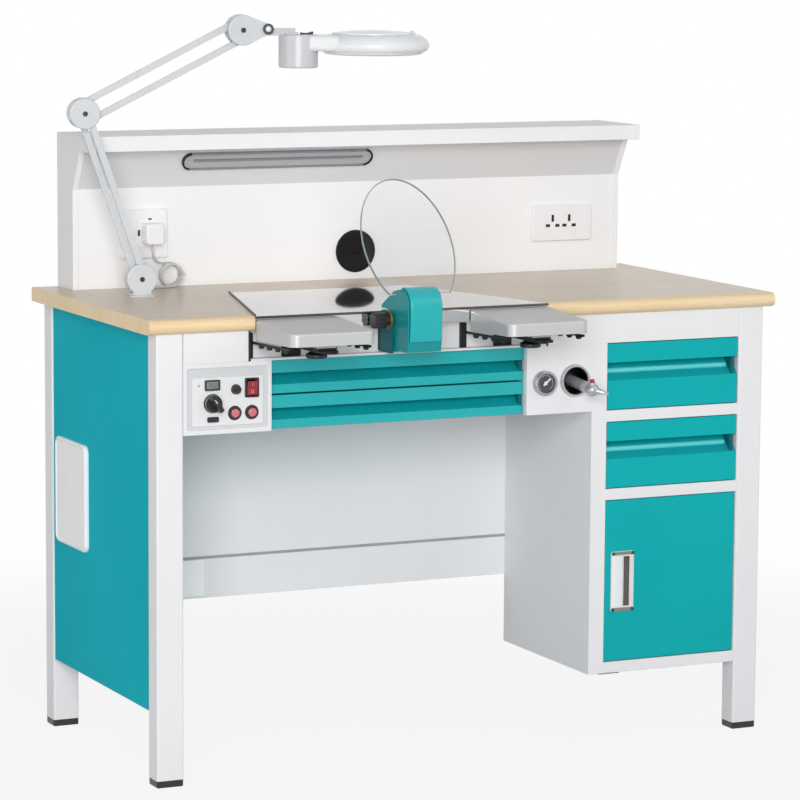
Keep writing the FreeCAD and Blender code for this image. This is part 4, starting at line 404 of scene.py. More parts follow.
# the right outlets' pin holes are painted near black: painted shade inside the holes
pinHoles = dict(x=(0.372, 0.484), y=(0.2822, None), z=(0.864, 0.908))
addFinish(moulded, "socketMoulding socket_plates", whiteMould, inlays=[(pinHoles, "1C1C1E")])
addFinish(moulded, "coverMoulding access_cover", whiteMould, colour="F8F8FA", shade="F3F3F6",
          scuffColour="E6E6EA")
addFinish(moulded, "pullMoulding door_handle", whiteMould, colour="E2E1E1", shade="DAD9D9", flow=22,
          grain=1000, scuff=0.15, scuffColour="C1C1C1", inlays=[(dict(y=(-0.1985, None)), "7B7471")])
paleMarks = addFinish(moulded, "paleMarks", whiteMould, edge=0, rough=0.4)
addFinish(moulded, "blushMarks", paleMarks, colour="D5A2A6", shade="CC969B")
addFinish(moulded, "milkyRing", whiteMould, edge=0, rough=0.2)
lampNodes = "lamp_base lamp_post lower_arm lower_link elbow_bracket upper_arm upper_link head_bracket"
armEnamel = addFinish(
    moulded, "armEnamel " + lampNodes, whiteMould, colour="CFD3D6", shade="C8CCD0", flow=9, grain=800,
    scuff=0.03, scuffColour="BFC3C5", rough=0.26, depth=0.000004, edge=0)
addFinish(moulded, "canEnamel lamp_housing", armEnamel, colour="CBCDD0", shade="C5C7CB")
addFinish(moulded, "headEnamel lamp_head lens_cover", armEnamel, colour="EDEFF1", shade="E8EBED",
          scuffColour="DCDFE1", rough=0.2)
blackMould = addFinish(
    moulded, "blackMoulding black_plastic", whiteMould, colour="17181A", shade="202123", flow=30, grain=1500,
    scuff=0.35, scuffColour="3B3C3E", rough=0.34, depth=0.00006, edge=0.0006)
inkMarks = addFinish(
    moulded, "inkMarks", blackMould, colour="3A3C3F", shade="46484B", scuffColour="55575A", edge=0, rough=0.6)
addFinish(moulded, "fadedInk", inkMarks, colour="8E9093", shade="9A9C9F", scuffColour="A5A7AA")
redMould = addFinish(
    moulded, "redMoulding red_plastic", whiteMould, colour="A21A2C", shade="8E1526", flow=60, grain=1600,
    scuff=0.15, scuffColour="C75560", rough=0.2, depth=0.00003, edge=0.0005, gloss=0.6)
# the buttons' red lightened to pink: partly their own colour, partly a painted reflection
addFinish(moulded, "buttonMoulding left_button right_button", redMould, colour="D67680", shade="CB6570",
          scuffColour="E3A0A6", flow=90)
greyMould = addFinish(
    moulded, "greyMoulding grey_plastic", whiteMould, colour="47494A", shade="3E4041", flow=25, grain=1200,
    scuff=0.2, scuffColour="66686A", rough=0.4, depth=0.00006)
addFinish(moulded, "oliveMoulding", greyMould, colour="8B8A80", shade="7E7D73", scuffColour="9B9A90")
addFinish(moulded, "screenGrey", greyMould, colour="8A928F", shade="7F8785", edge=0, rough=0.15)
addFinish(moulded, "dialGrey", greyMould, colour="46484B", shade="3C3E41", edge=0, rough=0.3)
# grey for the strip in the knee panel's joint: painted shade
addFinish(moulded, "sealGrey", greyMould, colour="A3A5A9", shade="999BA0", scuffColour="B0B2B5", edge=0)
addFinish(moulded, "groundEdge", whiteMould, colour="8DA19E", shade="7C918E", flow=40, scuff=0.2,
          scuffColour="C6D2D0", rough=0.18, depth=0.00003, edge=0, gloss=0.6)


def rubber(f, spec):
    # rubber: matt, mottled bloom, and thin slits that fan out from a middle where one is given;
    # the way to the nearest slit is the distance out times |sin(n angle)| / n, n being half the slits
    bloom = f.noise(spec.bloom, 5, 0.6)
    height = f.noise(1400)
    colour = f.mix(bloom.above(0.52, 0.2) * 0.6, spec.colour, spec.shade)
    if "slits" in spec:
        across, rise, out = f.around(spec.middle)
        n = spec.slits / 2
        wave = (across.maths("ARCTAN2", rise, across) * n).wave()
        aside = wave.maths("ABSOLUTE", wave) * out / n
        slit = (1 - aside.above(spec.slitHalf, inlaySoft)) * (1 - out.above(spec.reach, 0.001))
        # the slits are darker than the rubber: painted shade in the cuts
        colour = f.mix(slit, colour, spec.slitColour)
        height = height - slit * spec.slitDepth
    rough = spec.rough + (bloom - 0.5) * 0.2
    normal = f.bump(height, 0.00008, 0.5, f.rounded(0.001))
    return f.surface(spec, colour, rough, normal, Specular_IOR_Level=spec.gloss)


addFinish(rubber, "footRubber black_rubber", colour="060606", shade="0D0D0B", bloom=60, rough=0.62, gloss=0.2)
addFinish(rubber, "bungRubber grommet", colour="0B0B0C", shade="141415", bloom=90, rough=0.5, gloss=0.2,
          middle=(0.002, 0.846), slits=8, reach=0.032, slitHalf=0.0004, slitDepth=6, slitColour="050505")


def chrome(f, spec):
    # plated metal: bright skin with faint polishing haze
    haze = f.noise(spec.haze, 4, 0.6)
    colour = f.mix(haze.above(0.5, 0.3), spec.colour, spec.shade)
    rough = spec.rough + haze.above(0.55, 0.2) * 0.06
    normal = f.bump(f.noise(1200), 0.00001, 0.3, f.rounded(0.0006))
    return f.surface(spec, colour, rough, normal, Metallic=spec.metal)


# the gun where it lies inside the holder's bore is painted near black: painted shade
gunShadeInBore = dict(x=(0.178, 0.228), y=(-0.1745, -0.15), z=(0.63, 0.68))
addFinish(chrome, "platedMetal chrome", colour="C2C3C5", shade="9FA1A4", haze=60, rough=0.24, metal=0.55,
          inlays=[(gunShadeInBore, "1A1B1D")])


def glass(f, spec):
    # clear sheet glass: faint tint, wiping smears in the gloss and the tint
    smear = f.noise((18, 18, 60), 4, 0.6, turn=(0, 0.4, 0))
    colour = f.mix(smear.above(0.5, 0.3), spec.colour, spec.shade)
    rough = smear.above(0.62, 0.2) * spec.smear
    return f.surface(spec, colour, rough, Transmission_Weight=1, IOR=spec.ior)


addFinish(glass, "shieldGlass clear_glass", colour="FCFDFF", shade="F9FBFF", smear=0.03, ior=1.18)
addFinish(glass, "lensGlass lamp_lens", colour="FAFCFC", shade="F4F8F8", smear=0.02, ior=1.5)


def ribbed(f, spec):
    # ribbed milky cover, unlit: ribs along its length, the sine of a full turn for each rib's height
    ribs = (f.along()[2] * (2 * math.pi / spec.rib)).wave() * 0.5 + 0.5
    colour = f.mix(ribs * 0.4 + f.noise(18, 3) * 0.2, spec.colour, spec.shade)
    return f.surface(spec, colour, spec.rough + ribs * 0.1, f.bump(ribs, 0.0003, 0.6))


coverSlot = dict(x=(-0.331, 0.003), z=(1.0188, 1.0245))
addFinish(ribbed, "lightCover diffuser", colour="B6B9BD", shade="A9ADB2", rib=0.0028, rough=0.32,
          inlays=[(coverSlot, "888B90")])


def sheath(f, spec):
    # extruded sheath: fine grain and soft mottling
    fine = f.noise(900)
    colour = f.mix(f.noise(60, 3).above(0.5, 0.25), spec.colour, spec.shade)
    return f.surface(spec, colour, spec.rough + (fine - 0.5) * 0.1, f.bump(fine, 0.00004, 0.4))


addFinish(sheath, "leadSheath white_cable", colour="C9C9C7", shade="B8B8B6", rough=0.42)

for part in frame["record"]["subparts"]:
    finish = finishes.get(part["node"], finishes[part["material_slot"]])
    for slot in nodes[part["node"]].material_slots:
        slot.material = finish
print("finishes set:", len(bpy.data.materials))


# forms: points[i, j], i along a profile or path and j round it; doubles merge, so poles and ends close
mergeGap = 1e-6
sharpAngle = math.radians(38)
seat = 0.0002  # how far flat trim is let into the face behind it
screwSeat = 0.0003
frontWay = (0, -1, 0)


def makePiece(name, forms, body, slot, finish=None):
    # one mesh of all the grids, the quads of each counted on from the points before it
    points = np.concatenate([form.reshape(-1, 3) for form in forms])
    starts = np.cumsum([0] + [form.shape[0] * form.shape[1] for form in forms])
    faces = np.concatenate([gridFaces(*form.shape[:2]) + start for form, start in zip(forms, starts)])
    mesh = bpy.data.meshes.new(name)
    mesh.from_pydata(points.tolist(), [], faces.tolist())
    shell = bmesh.new()
    shell.from_mesh(mesh)
    bmesh.ops.remove_doubles(shell, verts=shell.verts, dist=mergeGap)
    bmesh.ops.recalc_face_normals(shell, faces=shell.faces)
    shell.to_mesh(mesh)
    shell.free()
    mesh.shade_smooth()
    mesh.set_sharp_from_angle(angle=sharpAngle)
    mesh.materials.append(finishes[finish or slot])
    piece = addObject(name, mesh)
    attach(piece, body)
    return piece


def gridFaces(rows, columns):
    # quads of a grid that is closed round its columns
    row, column = np.meshgrid(np.arange(rows - 1), np.arange(columns), indexing="ij")
    this, following = row * columns, (row + 1) * columns
    after = (column + 1) % columns
    return np.stack([this + column, this + after, following + after, following + column], -1).reshape(-1, 4)


def unit(rows):
    # each row over its own length
    return np.array(rows) / np.linalg.norm(rows, axis=-1, keepdims=True)


def placed(form, middle, axis=frontWay, side=(1, 0, 0)):
    # a form made about +Z, turned so that Z lies along axis and X near side, then moved to its middle
    up = unit(axis)
    across = unit(side - np.dot(side, up) * up)
    return form @ np.array([across, np.cross(up, across), up]) + np.array(middle)


def turnedForm(profile, steps=32, lobes=None):
    # point = (radius cos a, radius sin a, height), the radius multiplied by lobes(a) in rows that say so
    profile = np.array(profile, float)
    angle = np.linspace(0, 2 * np.pi, steps, endpoint=False)
    shape = np.ones(steps) if lobes is None else lobes(angle)
    share = profile[:, 2:3] if profile.shape[1] > 2 else np.zeros((len(profile), 1))
    radius = profile[:, :1] * (1 + share * (shape - 1))
    height = np.repeat(profile[:, 1:2], steps, 1)
    return np.stack([radius * np.cos(angle), radius * np.sin(angle), height], -1)


def tileForm(width, length, corner, rows, steps=6):
    # rounded rectangle, point = corner's centre + bend (cos a, sin a), drawn in by each row's inset and
    # lifted by its rise; a last share of 0 draws it to its middle
    rows = np.array(rows, float)
    inset, rise, share = rows[:, :1], rows[:, 1:2], rows[:, 2:3]
    quarter = np.linspace(0, np.pi / 2, steps)
    angle = np.concatenate([quarter + k * np.pi / 2 for k in range(4)])
    signX = np.repeat((1, -1, -1, 1), steps)
    signY = np.repeat((1, 1, -1, -1), steps)
    bend = np.maximum(corner - inset, 1e-5)
    x = signX * (width / 2 - inset - bend) + bend * np.cos(angle)
    y = signY * (length / 2 - inset - bend) + bend * np.sin(angle)
    return np.stack([x * share, y * share, np.repeat(rise, len(angle), 1)], -1)


def padRows(thick, edge):
    # tile rows of a thin pad with a softened edge, closed at its foot and at its face
    soft = 0.3 * edge
    return [(0, -seat, 0), (0, -seat, 1), (0, thick - edge, 1), (soft, thick - soft, 1), (edge, thick, 1),
            (edge, thick, 0)]


def ringRows(inner, outer, low, high):
    # a square section to be turned, between two radii and two heights
    return [(inner, low), (outer, low), (outer, high), (inner, high), (inner, low)]


def carriedForm(path, profile, up=(0, 0, 1), ring=False):
    # profile point (p, q) carried along a path: path + p side + q over, the side square to path and up
    path = np.array(path, float)
    way = unit(np.roll(path, -1, 0) - np.roll(path, 1, 0) if ring else np.gradient(path, axis=0))
    side = unit(np.cross(way, up))
    over = np.cross(side, way)
    profile = np.array(profile, float)
    form = path[:, None] + side[:, None] * profile[:, :1] + over[:, None] * profile[:, 1:]
    return np.concatenate([form, form[:1]]) if ring else shut(form)


def shut(form):
    # each end is drawn in to the mean of its own points
    first, last = (np.repeat(end.mean(1, keepdims=True), form.shape[1], 1) for end in (form[:1], form[-1:]))
    return np.concatenate([first, form, last])


def ovalProfile(halfWidth, halfHeight, steps=12, power=1):
    # point = (half width cos a, half height sin a), sine and cosine raised to a power that squares the oval
    angle = np.linspace(0, 2 * np.pi, steps, endpoint=False)
    way = np.stack([np.cos(angle), np.sin(angle)], 1)
    return (halfWidth, halfHeight) * np.sign(way) * np.abs(way) ** power


def straight(start, end, steps):
    # point = start + t (end - start), t from 0 to 1
    start, end = np.array(start), np.array(end)
    return start + (end - start) * np.linspace(0, 1, steps)[:, None]


# the lamp's lead: plug in the left outlet, a standing coil beside the foot, then the foot's gland
lampLead = Spec(
    thickness=0.0044, length=0.629, mouth=(-0.4568, 0.2025, 0.7998), coilMiddle=(-0.371, 0.2783, 0.818),
    loop=0.0205, pitch=0.005, turns=3.5, perTurn=16, slack=0.05, ripple=2.3, plugExit=(-0.406, 0.2695, 0.874),
    leave=0.45, bends=((0.2, 0.45, 0.8), (0, 0, 0.42)))


def leadRoute(spec):
    # from the gland: straight back, a wide bend to the coil's foot, the helix wound back to its top,
    # then the short rise to the plug; helix point = middle + (loop sin t, -pitch turn, loop cos t)
    mouth, middle, plug = (np.array(spec[key]) for key in ("mouth", "coilMiddle", "plugExit"))
    bead = np.array((0, spec.thickness, 0))
    turn = np.linspace(spec.turns, 0, int(spec.turns * spec.perTurn) + 1)
    angle = 2 * np.pi * turn
    fade = np.clip(turn, 0, 1) * np.clip(spec.turns - turn, 0, 1)
    ease = spec.loop * (1 - spec.slack * (1 + np.sin(spec.ripple * turn)) * fade)
    ring = middle + np.stack([ease * np.sin(angle), -spec.pitch * turn, ease * np.cos(angle)], 1)
    way = unit([2 * np.pi * spec.loop, -spec.pitch, 0])
    wayEnd = way * (-1, 1, 1)
    out = np.array((0, 1, 0))  # the two ends of the bend lie equally far from their straight runs
    gap = mouth + bead - ring[0]
    both = wayEnd - out
    bend = 2 * (1 + wayEnd @ out)
    reach = (math.sqrt((gap @ both) ** 2 + bend * (gap @ gap)) - gap @ both) / bend
    tail = np.array([mouth, mouth + bead, mouth + bead + out * reach, ring[0] + wayEnd * reach])
    end = middle + (0, 0, spec.loop) - way * spec.thickness
    fall = end - plug
    bends = [plug + fall * share for share in spec.bends]
    rise = np.array([end, end - way * spec.leave * fall[0], *bends, plug])
    return np.concatenate([tail, ring, rise])


# tie round the coil's strands
leadTie = Spec(turn=0.25, wide=0.0042, thick=0.0011, half=(0.0036, 0.0122), back=0.0088)


def addTie(spec, lead):
    # a flat strip carried round a squared oval that lies across the strands at one side of the coil
    angle = 2 * np.pi * spec.turn
    offset = (lead.loop * math.sin(angle), -spec.back, lead.loop * math.cos(angle))
    loop = np.pad(ovalProfile(*spec.half, 40, 0.7), ((0, 0), (0, 1)))
    path = np.array(lead.coilMiddle) + offset + loop
    strip = carriedForm(path, ovalProfile(spec.thick / 2, spec.wide / 2, 12, 0.5), ring=True)
    return makePiece("leadTie", [strip], "bench", "white_cable")


def addLead(spec, tie):
    # a smooth curve drawn by the route's points, with a circle carried along it
    points = leadRoute(spec)
    curve = bpy.data.curves.new("lampLead", "CURVE")
    curve.dimensions = "3D"
    spline = curve.splines.new("NURBS")
    spline.points.add(len(points) - 1)
    flat = np.concatenate([points, np.ones((len(points), 1))], 1)
    spline.points.foreach_set("co", flat.ravel())
    spline.order_u = 3
    spline.use_endpoint_u = True
    spline.resolution_u = 4
    curve.bevel_depth = spec.thickness / 2
    curve.bevel_resolution = 4
    curve.use_fill_caps = True
    lead = addObject("lampLead", curve)
    curve.materials.append(finishes["white_cable"])
    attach(lead, "bench")
    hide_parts("lamp_cord", "cord_coil")


addLead(lampLead, addTie(leadTie, lampLead))
print("lead laid")


def hexShare(angle):
    # a hexagon's radius over its corner radius
    return math.cos(math.pi / 6) / np.cos(angle % (math.pi / 3) - math.pi / 6)


def screwForm(spec):
    # a dome of revolution with a hexagon sunk in its crown; the dome's rows are shares of radius and rise
    r, h, s = spec.radius, spec.rise, spec.socket
    floor = spec.floor * h
    dome = [(across * r, up * h, 0) for across, up in spec.dome]
    rows = [(0, -screwSeat, 0), (r, -screwSeat, 0), *dome, (s, h, 1), (s, floor, 1), (0, floor, 0)]
    return turnedForm(rows, spec.steps, hexShare)


# socket screws in the lamp's three joints, front and back
jointScrew = Spec(
    radius=0.0044, rise=0.0024, dome=[(1, 0.4), (0.93, 0.75), (0.78, 1)], socket=0.0022, floor=0.3, steps=36,
    facing=(-0.17365, -0.98481, 0), through=0.037,
    places=dict(lamp_post=(-0.47401, 0.14328, 0.8253), elbow_bracket=(-0.57219, 0.16059, 1.11566),
                head_bracket=(-0.29559, 0.11182, 1.25939)))


def addJointScrews(spec):
    # the back screw lies at place - through facing
    screw = screwForm(spec)
    facing = np.array(spec.facing)
    for body, place in spec.places.items():
        front = placed(screw, place, facing)
        back = placed(screw, np.array(place) - facing * spec.through, -facing)
        makePiece(body + "_screws", [front, back], body, "black_plastic")


addJointScrews(jointScrew)


# knurled sleeve on the clamp at the lamp's tilting pivot, with a pale button in its middle
tiltSleeve = Spec(
    foot=(-0.25227, 0.10418, 1.26139), facing=(-0.17365, -0.98481, 0), ribs=20, ripple=0.035, outer=0.0096,
    inner=0.0052, bore=0.0087, low=0.0003, rise=0.004, skin=0.0007, bevel=0.0005, lip=0.0003,
    button=[(0, 0.0018), (0.0048, 0.0018), (0.0048, 0.0032), (0.00384, 0.0042), (0.00192, 0.0047), (0, 0.0048)])


def addTiltSleeve(spec):
    # ring of revolution whose outer rows swell with the cosine of ribs times the angle; a turned dome
    out, within, bore = spec.outer, spec.inner, spec.bore
    low, high, top = spec.low, spec.rise, spec.rise + spec.skin
    rows = [(bore, low, 0), (out, low, 1), (out, high, 1), (out - spec.bevel, top, 0.6),
            (within + spec.lip, top, 0), (within, high, 0), (bore, high, 0), (bore, low, 0)]
    sleeve = turnedForm(rows, 160, lambda angle: 1 + spec.ripple * np.cos(spec.ribs * angle))
    sleeve, dome = (placed(form, spec.foot, spec.facing) for form in (sleeve, turnedForm(spec.button)))
    makePiece("tiltSleeve", [sleeve], "head_bracket", "black_plastic", "dialGrey")
    makePiece("tiltButton", [dome], "head_bracket", "white_plastic", "headEnamel")


addTiltSleeve(tiltSleeve)


# milky ring under the lamp's dish
ringCover = Spec(middle=(-0.05652, 0.08845, 1.22159), inner=0.066, outer=0.09, drop=0.0062)


def addRingCover(spec):
    # half an ellipse turned about the lens: radius from inner to outer, drop times the sine
    t = np.linspace(0, np.pi, 15)
    mid, half = (spec.outer + spec.inner) / 2, (spec.outer - spec.inner) / 2
    rows = np.stack([mid - half * np.cos(t), -spec.drop * np.sin(t)], 1)
    rows = np.concatenate([rows, rows[:1]])
    ring = placed(turnedForm(rows, 96), spec.middle, (0, 0, 1))
    makePiece("ringCover", [ring], "lamp", "diffuser", "milkyRing")


addRingCover(ringCover)
print("lamp trim made")


# display with seven-bar digits: each bar's place across and up, and whether it stands
display = Spec(
    middle=(-0.483, -0.2015, 0.681), screen=(0.0216, 0.0126), corner=0.0004, pad=(0.0005, 0.0002),
    shown="350", digit=(0.0036, 0.0078), step=0.006, bar=0.0009, barPad=(0.0002, 0.0001))
digitBars = dict(
    a=(0, 2, 0), b=(1, 1, 1), c=(1, -1, 1), d=(0, -2, 0), e=(-1, -1, 1), f=(-1, 1, 1), g=(0, 0, 0))
digitShapes = {"0": "abcdef", "3": "abcdg", "5": "acdfg"}


def addDisplay(spec):
    # a flat tile, and on it thin tiles along the sides and across the middle of each digit
    screen = tileForm(*spec.screen, spec.corner, padRows(*spec.pad))
    makePiece("displayScreen", [placed(screen, spec.middle)], "bench", "grey_plastic", "screenGrey")
    (wide, tall), thin, shown = spec.digit, spec.bar, spec.shown
    bars = []
    for k, sign in enumerate(shown):
        start = (k - (len(shown) - 1) / 2) * spec.step
        for name in digitShapes[sign]:
            across, up, stands = digitBars[name]
            length = tall / 2 - thin if stands else wide
            bar = tileForm(length, thin, spec.corner, padRows(*spec.barPad), 3)
            offset = (start + across * (wide + thin) / 2, -spec.pad[0], up * tall / 4)
            side = (0, 0, 1) if stands else (1, 0, 0)
            bars.append(placed(bar, np.array(spec.middle) + offset, frontWay, side))
    makePiece("displayDigits", bars, "bench", "black_plastic", "inkMarks")


addDisplay(display)


def onDial(form, middle, away, angle):
    # a form turned by the angle on a dial that faces the front, at middle + away (sin a, 0, cos a)
    sine, cosine = math.sin(angle), math.cos(angle)
    place = np.array(middle) + np.array((sine, 0, cosine)) * away
    return placed(form, place, frontWay, (cosine, 0, -sine))


tickMark = Spec(size=(0.0006, 0.0022), corner=0.0002, pad=(0.00015, 0.0001), sweep=math.radians(270))


def dialTicks(spec, middle, away, count):
    # thin tiles at equal angles over the sweep
    tick = tileForm(*spec.size, spec.corner, padRows(*spec.pad), 2)
    half = spec.sweep / 2
    return [onDial(tick, middle, away, angle) for angle in np.linspace(-half, half, count)]


# scale round the speed dial, pointer and bright ring on its knob
speedDial = Spec(
    middle=(-0.482, -0.2, 0.65), ticks=11, tickAt=0.0197, line=(0.0014, 0.0085), lineCorner=0.0006,
    linePad=(0.0003, 0.0002), lineAt=0.0078, lineTurn=-35, lineFront=-0.2273,
    ring=(0.0146, 0.0153, -0.0004, 0.0003), ringFront=-0.2053)


def addSpeedDial(spec):
    # thin tiles round the dial, a tile on the knob, a square section turned round it
    x, _, z = spec.middle
    ticks = dialTicks(tickMark, spec.middle, spec.tickAt, spec.ticks)
    makePiece("dialScale", ticks, "bench", "black_plastic", "fadedInk")
    line = tileForm(*spec.line, spec.lineCorner, padRows(*spec.linePad), 4)
    line = onDial(line, (x, spec.lineFront, z), spec.lineAt, math.radians(spec.lineTurn))
    ring = placed(turnedForm(ringRows(*spec.ring), 48), (x, spec.ringFront, z))
    makePiece("knobPointer", [line], "speed_knob", "white_plastic", "paleMarks")
    makePiece("knobRing", [ring], "speed_knob", "chrome", "turnedMetal")


addSpeedDial(speedDial)


# signal light, and the two marks on the rocker: a stroke and a ring, each with its facing
signalLight = Spec(
    place=(-0.5075, -0.2, 0.6812),
    bulb=[(0, -seat), (0.0019, -seat), (0.0019, 0.0008), (0.0014, 0.0017), (0.0007, 0.0021), (0, 0.0022)])
rockerMarks = Spec(
    stroke=(0.0013, 0.0056), corner=0.0006, pad=(0.0002, 0.0001), ring=(0.0018, 0.0029),
    strokeAt=((-0.4115, -0.20533, 0.67957), (0, -0.97456, -0.22404)),
    ringAt=((-0.4115, -0.20387, 0.66766), (0, -0.99982, -0.01838)))


def addSignals(light, marks):
    # a turned dome; a thin tile and a turned square section
    bulb = placed(turnedForm(light.bulb), light.place)
    makePiece("signalLight", [bulb], "bench", "chrome", "turnedMetal")
    stroke = tileForm(*marks.stroke, marks.corner, padRows(*marks.pad), 3)
    ring = turnedForm(ringRows(*marks.ring, -seat, seat), 28)
    forms = [placed(stroke, *marks.strokeAt), placed(ring, *marks.ringAt)]
    makePiece("rockerMarks", forms, "rocker_switch", "white_plastic", "blushMarks")


addSignals(signalLight, rockerMarks)


# gauge: dark dial with a ring of ticks, a white pointer and its hub
gaugeDial = Spec(
    middle=(0.141, -0.2085, 0.654), radius=0.0163, thick=0.0004, ticks=25, tickAt=0.014,
    hand=(0.003, 0.0185), handCorner=0.0013, handPad=(0.0007, 0.0003), handAt=0.003, handTurn=48,
    handLift=0.0006, hub=[(0, 0), (0.0034, 0), (0.0034, 0.001), (0.00238, 0.0019), (0, 0.002)])


def addGaugeDial(spec):
    # a turned disc, thin tiles round it, a rounded tile as the hand and a turned dome as its hub
    r, thick = spec.radius, spec.thick
    disc = turnedForm([(0, -seat), (r, -seat), (r, thick), (0, thick)], 48)
    makePiece("gaugeDial", [placed(disc, spec.middle)], "bench", "black_plastic", "dialGrey")
    face = np.array(spec.middle) + (0, -thick, 0)
    ticks = dialTicks(tickMark, face, spec.tickAt, spec.ticks)
    hand = tileForm(*spec.hand, spec.handCorner, padRows(*spec.handPad), 5)
    hand = onDial(hand, face + (0, -spec.handLift, 0), spec.handAt, math.radians(spec.handTurn))
    hub = placed(turnedForm(spec.hub, 24), face)
    makePiece("gaugeMarks", ticks + [hand, hub], "bench", "white_plastic", "paleMarks")


addGaugeDial(gaugeDial)
print("panel trim made")


# finger channels: a rolled bead on the slope of each drawer, its teal lightened as a painted highlight, and
# dark gussets painted as the shade where the channels end
channelTrim = Spec(
    bead=0.0052, beadAt=(-0.1838, 0.6665), beadSpan=(0.2725, 0.515),
    drawers=dict(upper_drawer=0, lower_drawer=-0.14),
    drawerGusset=[(-0.1985, 0.6815), (-0.1712, 0.6802), (-0.1985, 0.6525)], drawerGussetSpan=(0.519, 0.525),
    trays=dict(upper_tray=0, lower_tray=-0.06),
    trayGusset=[(-0.1875, 0.6935), (-0.1682, 0.6922), (-0.1875, 0.6762)], trayGussetSpan=(0.0985, 0.1045))


def addChannelTrim(spec):
    # a circle and a triangle carried along X; their own points are (-y, z)
    def carried(section, span, y, z, steps):
        return carriedForm(straight((span[0], y, z), (span[1], y, z), steps), section)

    def addShadeGussets(kind, body, drop):
        points = np.array(spec[kind + "Gusset"])
        y, z = points.mean(0)
        end = carried((points - (y, z)) * (-1, 1), spec[kind + "GussetSpan"], y, z + drop, 3)
        makePiece(body + "_shadeGusset", [end], body, "teal_paint", "deepTeal")

    for body, drop in spec.drawers.items():
        y, z = spec.beadAt
        bead = carried(ovalProfile(spec.bead, spec.bead, 18), spec.beadSpan, y, z + drop, 9)
        makePiece(body + "_bead", [bead], body, "teal_paint", "rolledTeal")
        addShadeGussets("drawer", body, drop)
    for body, drop in spec.trays.items():
        addShadeGussets("tray", body, drop)


addChannelTrim(channelTrim)


def addStrip(name, spec, body, slot, finish=None):
    # a squared oval carried along a straight line
    section = ovalProfile(*spec.half, spec.sides, spec.power)
    path = straight(spec.start, spec.end, spec.steps)
    makePiece(name, [carriedForm(path, section, spec.up)], body, slot, finish)


# dark strip along the work plate's left side, standing in as painted shade along that edge
plateEdgeShade = Spec(
    start=(-0.4095, -0.2115, 0.7967), end=(-0.3085, 0.1465, 0.7967), steps=12, half=(0.0012, 0.002),
    sides=16, power=0.5, up=(0, 0, 1))
addStrip("plateEdgeShade", plateEdgeShade, "bench", "black_plastic")


# slots of the left outlet that its plug leaves free, as dark tiles of painted shade: place and size of each
outletSlots = Spec(
    slots=[((-0.4268, 0.2815, 0.8935), (0.0044, 0.011)), ((-0.4056, 0.2815, 0.9182), (0.007, 0.003))],
    corner=0.0008, pad=(0.0004, 0.0002))


def addOutletSlots(spec):
    # thin dark tiles on the outlet's face: the slots' painted shade
    rows = padRows(*spec.pad)
    slots = [placed(tileForm(*size, spec.corner, rows, 4), place) for place, size in spec.slots]
    makePiece("outletSlots", slots, "bench", "black_plastic")


addOutletSlots(outletSlots)


# end plates on the door's pull, and dark domes on the plates' corners
pullEnds = Spec(
    middle=0.303, front=-0.202, ends=(0.24, 0.341), plate=(0.044, 0.0056), corner=0.0022,
    pad=(0.0012, 0.0005), spread=0.0195, buttonFront=-0.2029,
    button=[(0, 0), (0.003, 0), (0.003, 0.0012), (0.00225, 0.0019), (0.00105, 0.0022), (0, 0.0023)])


def addPullEnds(spec):
    # rounded tiles at both ends, and turned domes on their corners
    x = spec.middle
    plate = tileForm(*spec.plate, spec.corner, padRows(*spec.pad))
    plates = [placed(plate, (x, spec.front, z)) for z in spec.ends]
    dome = turnedForm(spec.button, 20)
    domes = [placed(dome, (x + side, spec.buttonFront, z))
             for z in spec.ends for side in (-spec.spread, spec.spread)]
    makePiece("pullEndPlates", plates, "door", "grey_plastic", "oliveMoulding")
    makePiece("pullCornerDomes", domes, "door", "black_plastic")


addPullEnds(pullEnds)


# bulging leaf of the pull
pullLeaf = Spec(
    start=(0.2922, -0.2019, 0.244), end=(0.2922, -0.2019, 0.337), steps=11, half=(0.0112, 0.0028), sides=24,
    power=0.8, up=(0, 1, 0))
addStrip("pullLeaf", pullLeaf, "door", "white_plastic", "headEnamel")


# raised bead round the access cover's face
coverRim = Spec(inset=0.0042, corner=0.0105, half=(0.0022, 0.0018))


def addCoverRim(spec):
    # a rounded rectangle as a closed path, with an oval carried round it
    low, high = (np.array(corner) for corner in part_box("access_cover"))
    middle = (low + high) / 2
    size = high - low - 2 * spec.inset
    line = tileForm(size[1], size[2], spec.corner, [(0, 0, 1)], 9)[0]
    path = np.stack([np.full(len(line), low[0]), middle[1] + line[:, 0], middle[2] + line[:, 1]], 1)
    bead = carriedForm(path, ovalProfile(*spec.half), (1, 0, 0), True)
    makePiece("coverRim", [bead], "bench", "white_plastic", "milkyRing")


addCoverRim(coverRim)


# grey strip in the joint between the knee panel and the lower rail: painted shade of the gap
kneeShadeStrip = Spec(
    start=(-0.547, 0.1312, 0.325), end=(0.2365, 0.1312, 0.325), steps=20, half=(0.001, 0.0026), sides=12,
    power=0.6, up=(0, 0, 1))
addStrip("kneeShadeStrip", kneeShadeStrip, "bench", "grey_plastic", "sealGrey")


# ground edge round the glass shield
shieldRim = Spec(
    middle=(-0.128, -0.2115, 0.905), up=(0, 0.5299, 0.848), facing=(0, -0.848, 0.53),
    half=(0.083, 0.126), turns=(-46.9, 226.9), section=(0.00085, 0.0023))


def addShieldRim(spec):
    # point = middle + half width cos a across + half height sin a up, a rounded strip carried along it
    a = np.radians(np.linspace(*spec.turns, 120))[:, None]
    wide, tall = spec.half
    path = np.array(spec.middle) + wide * np.cos(a) * (1, 0, 0) + tall * np.sin(a) * np.array(spec.up)
    rim = carriedForm(path, ovalProfile(*spec.section, 12, 0.6), spec.facing)
    makePiece("shieldRim", [rim], "suction_head", "clear_glass", "groundEdge")


addShieldRim(shieldRim)


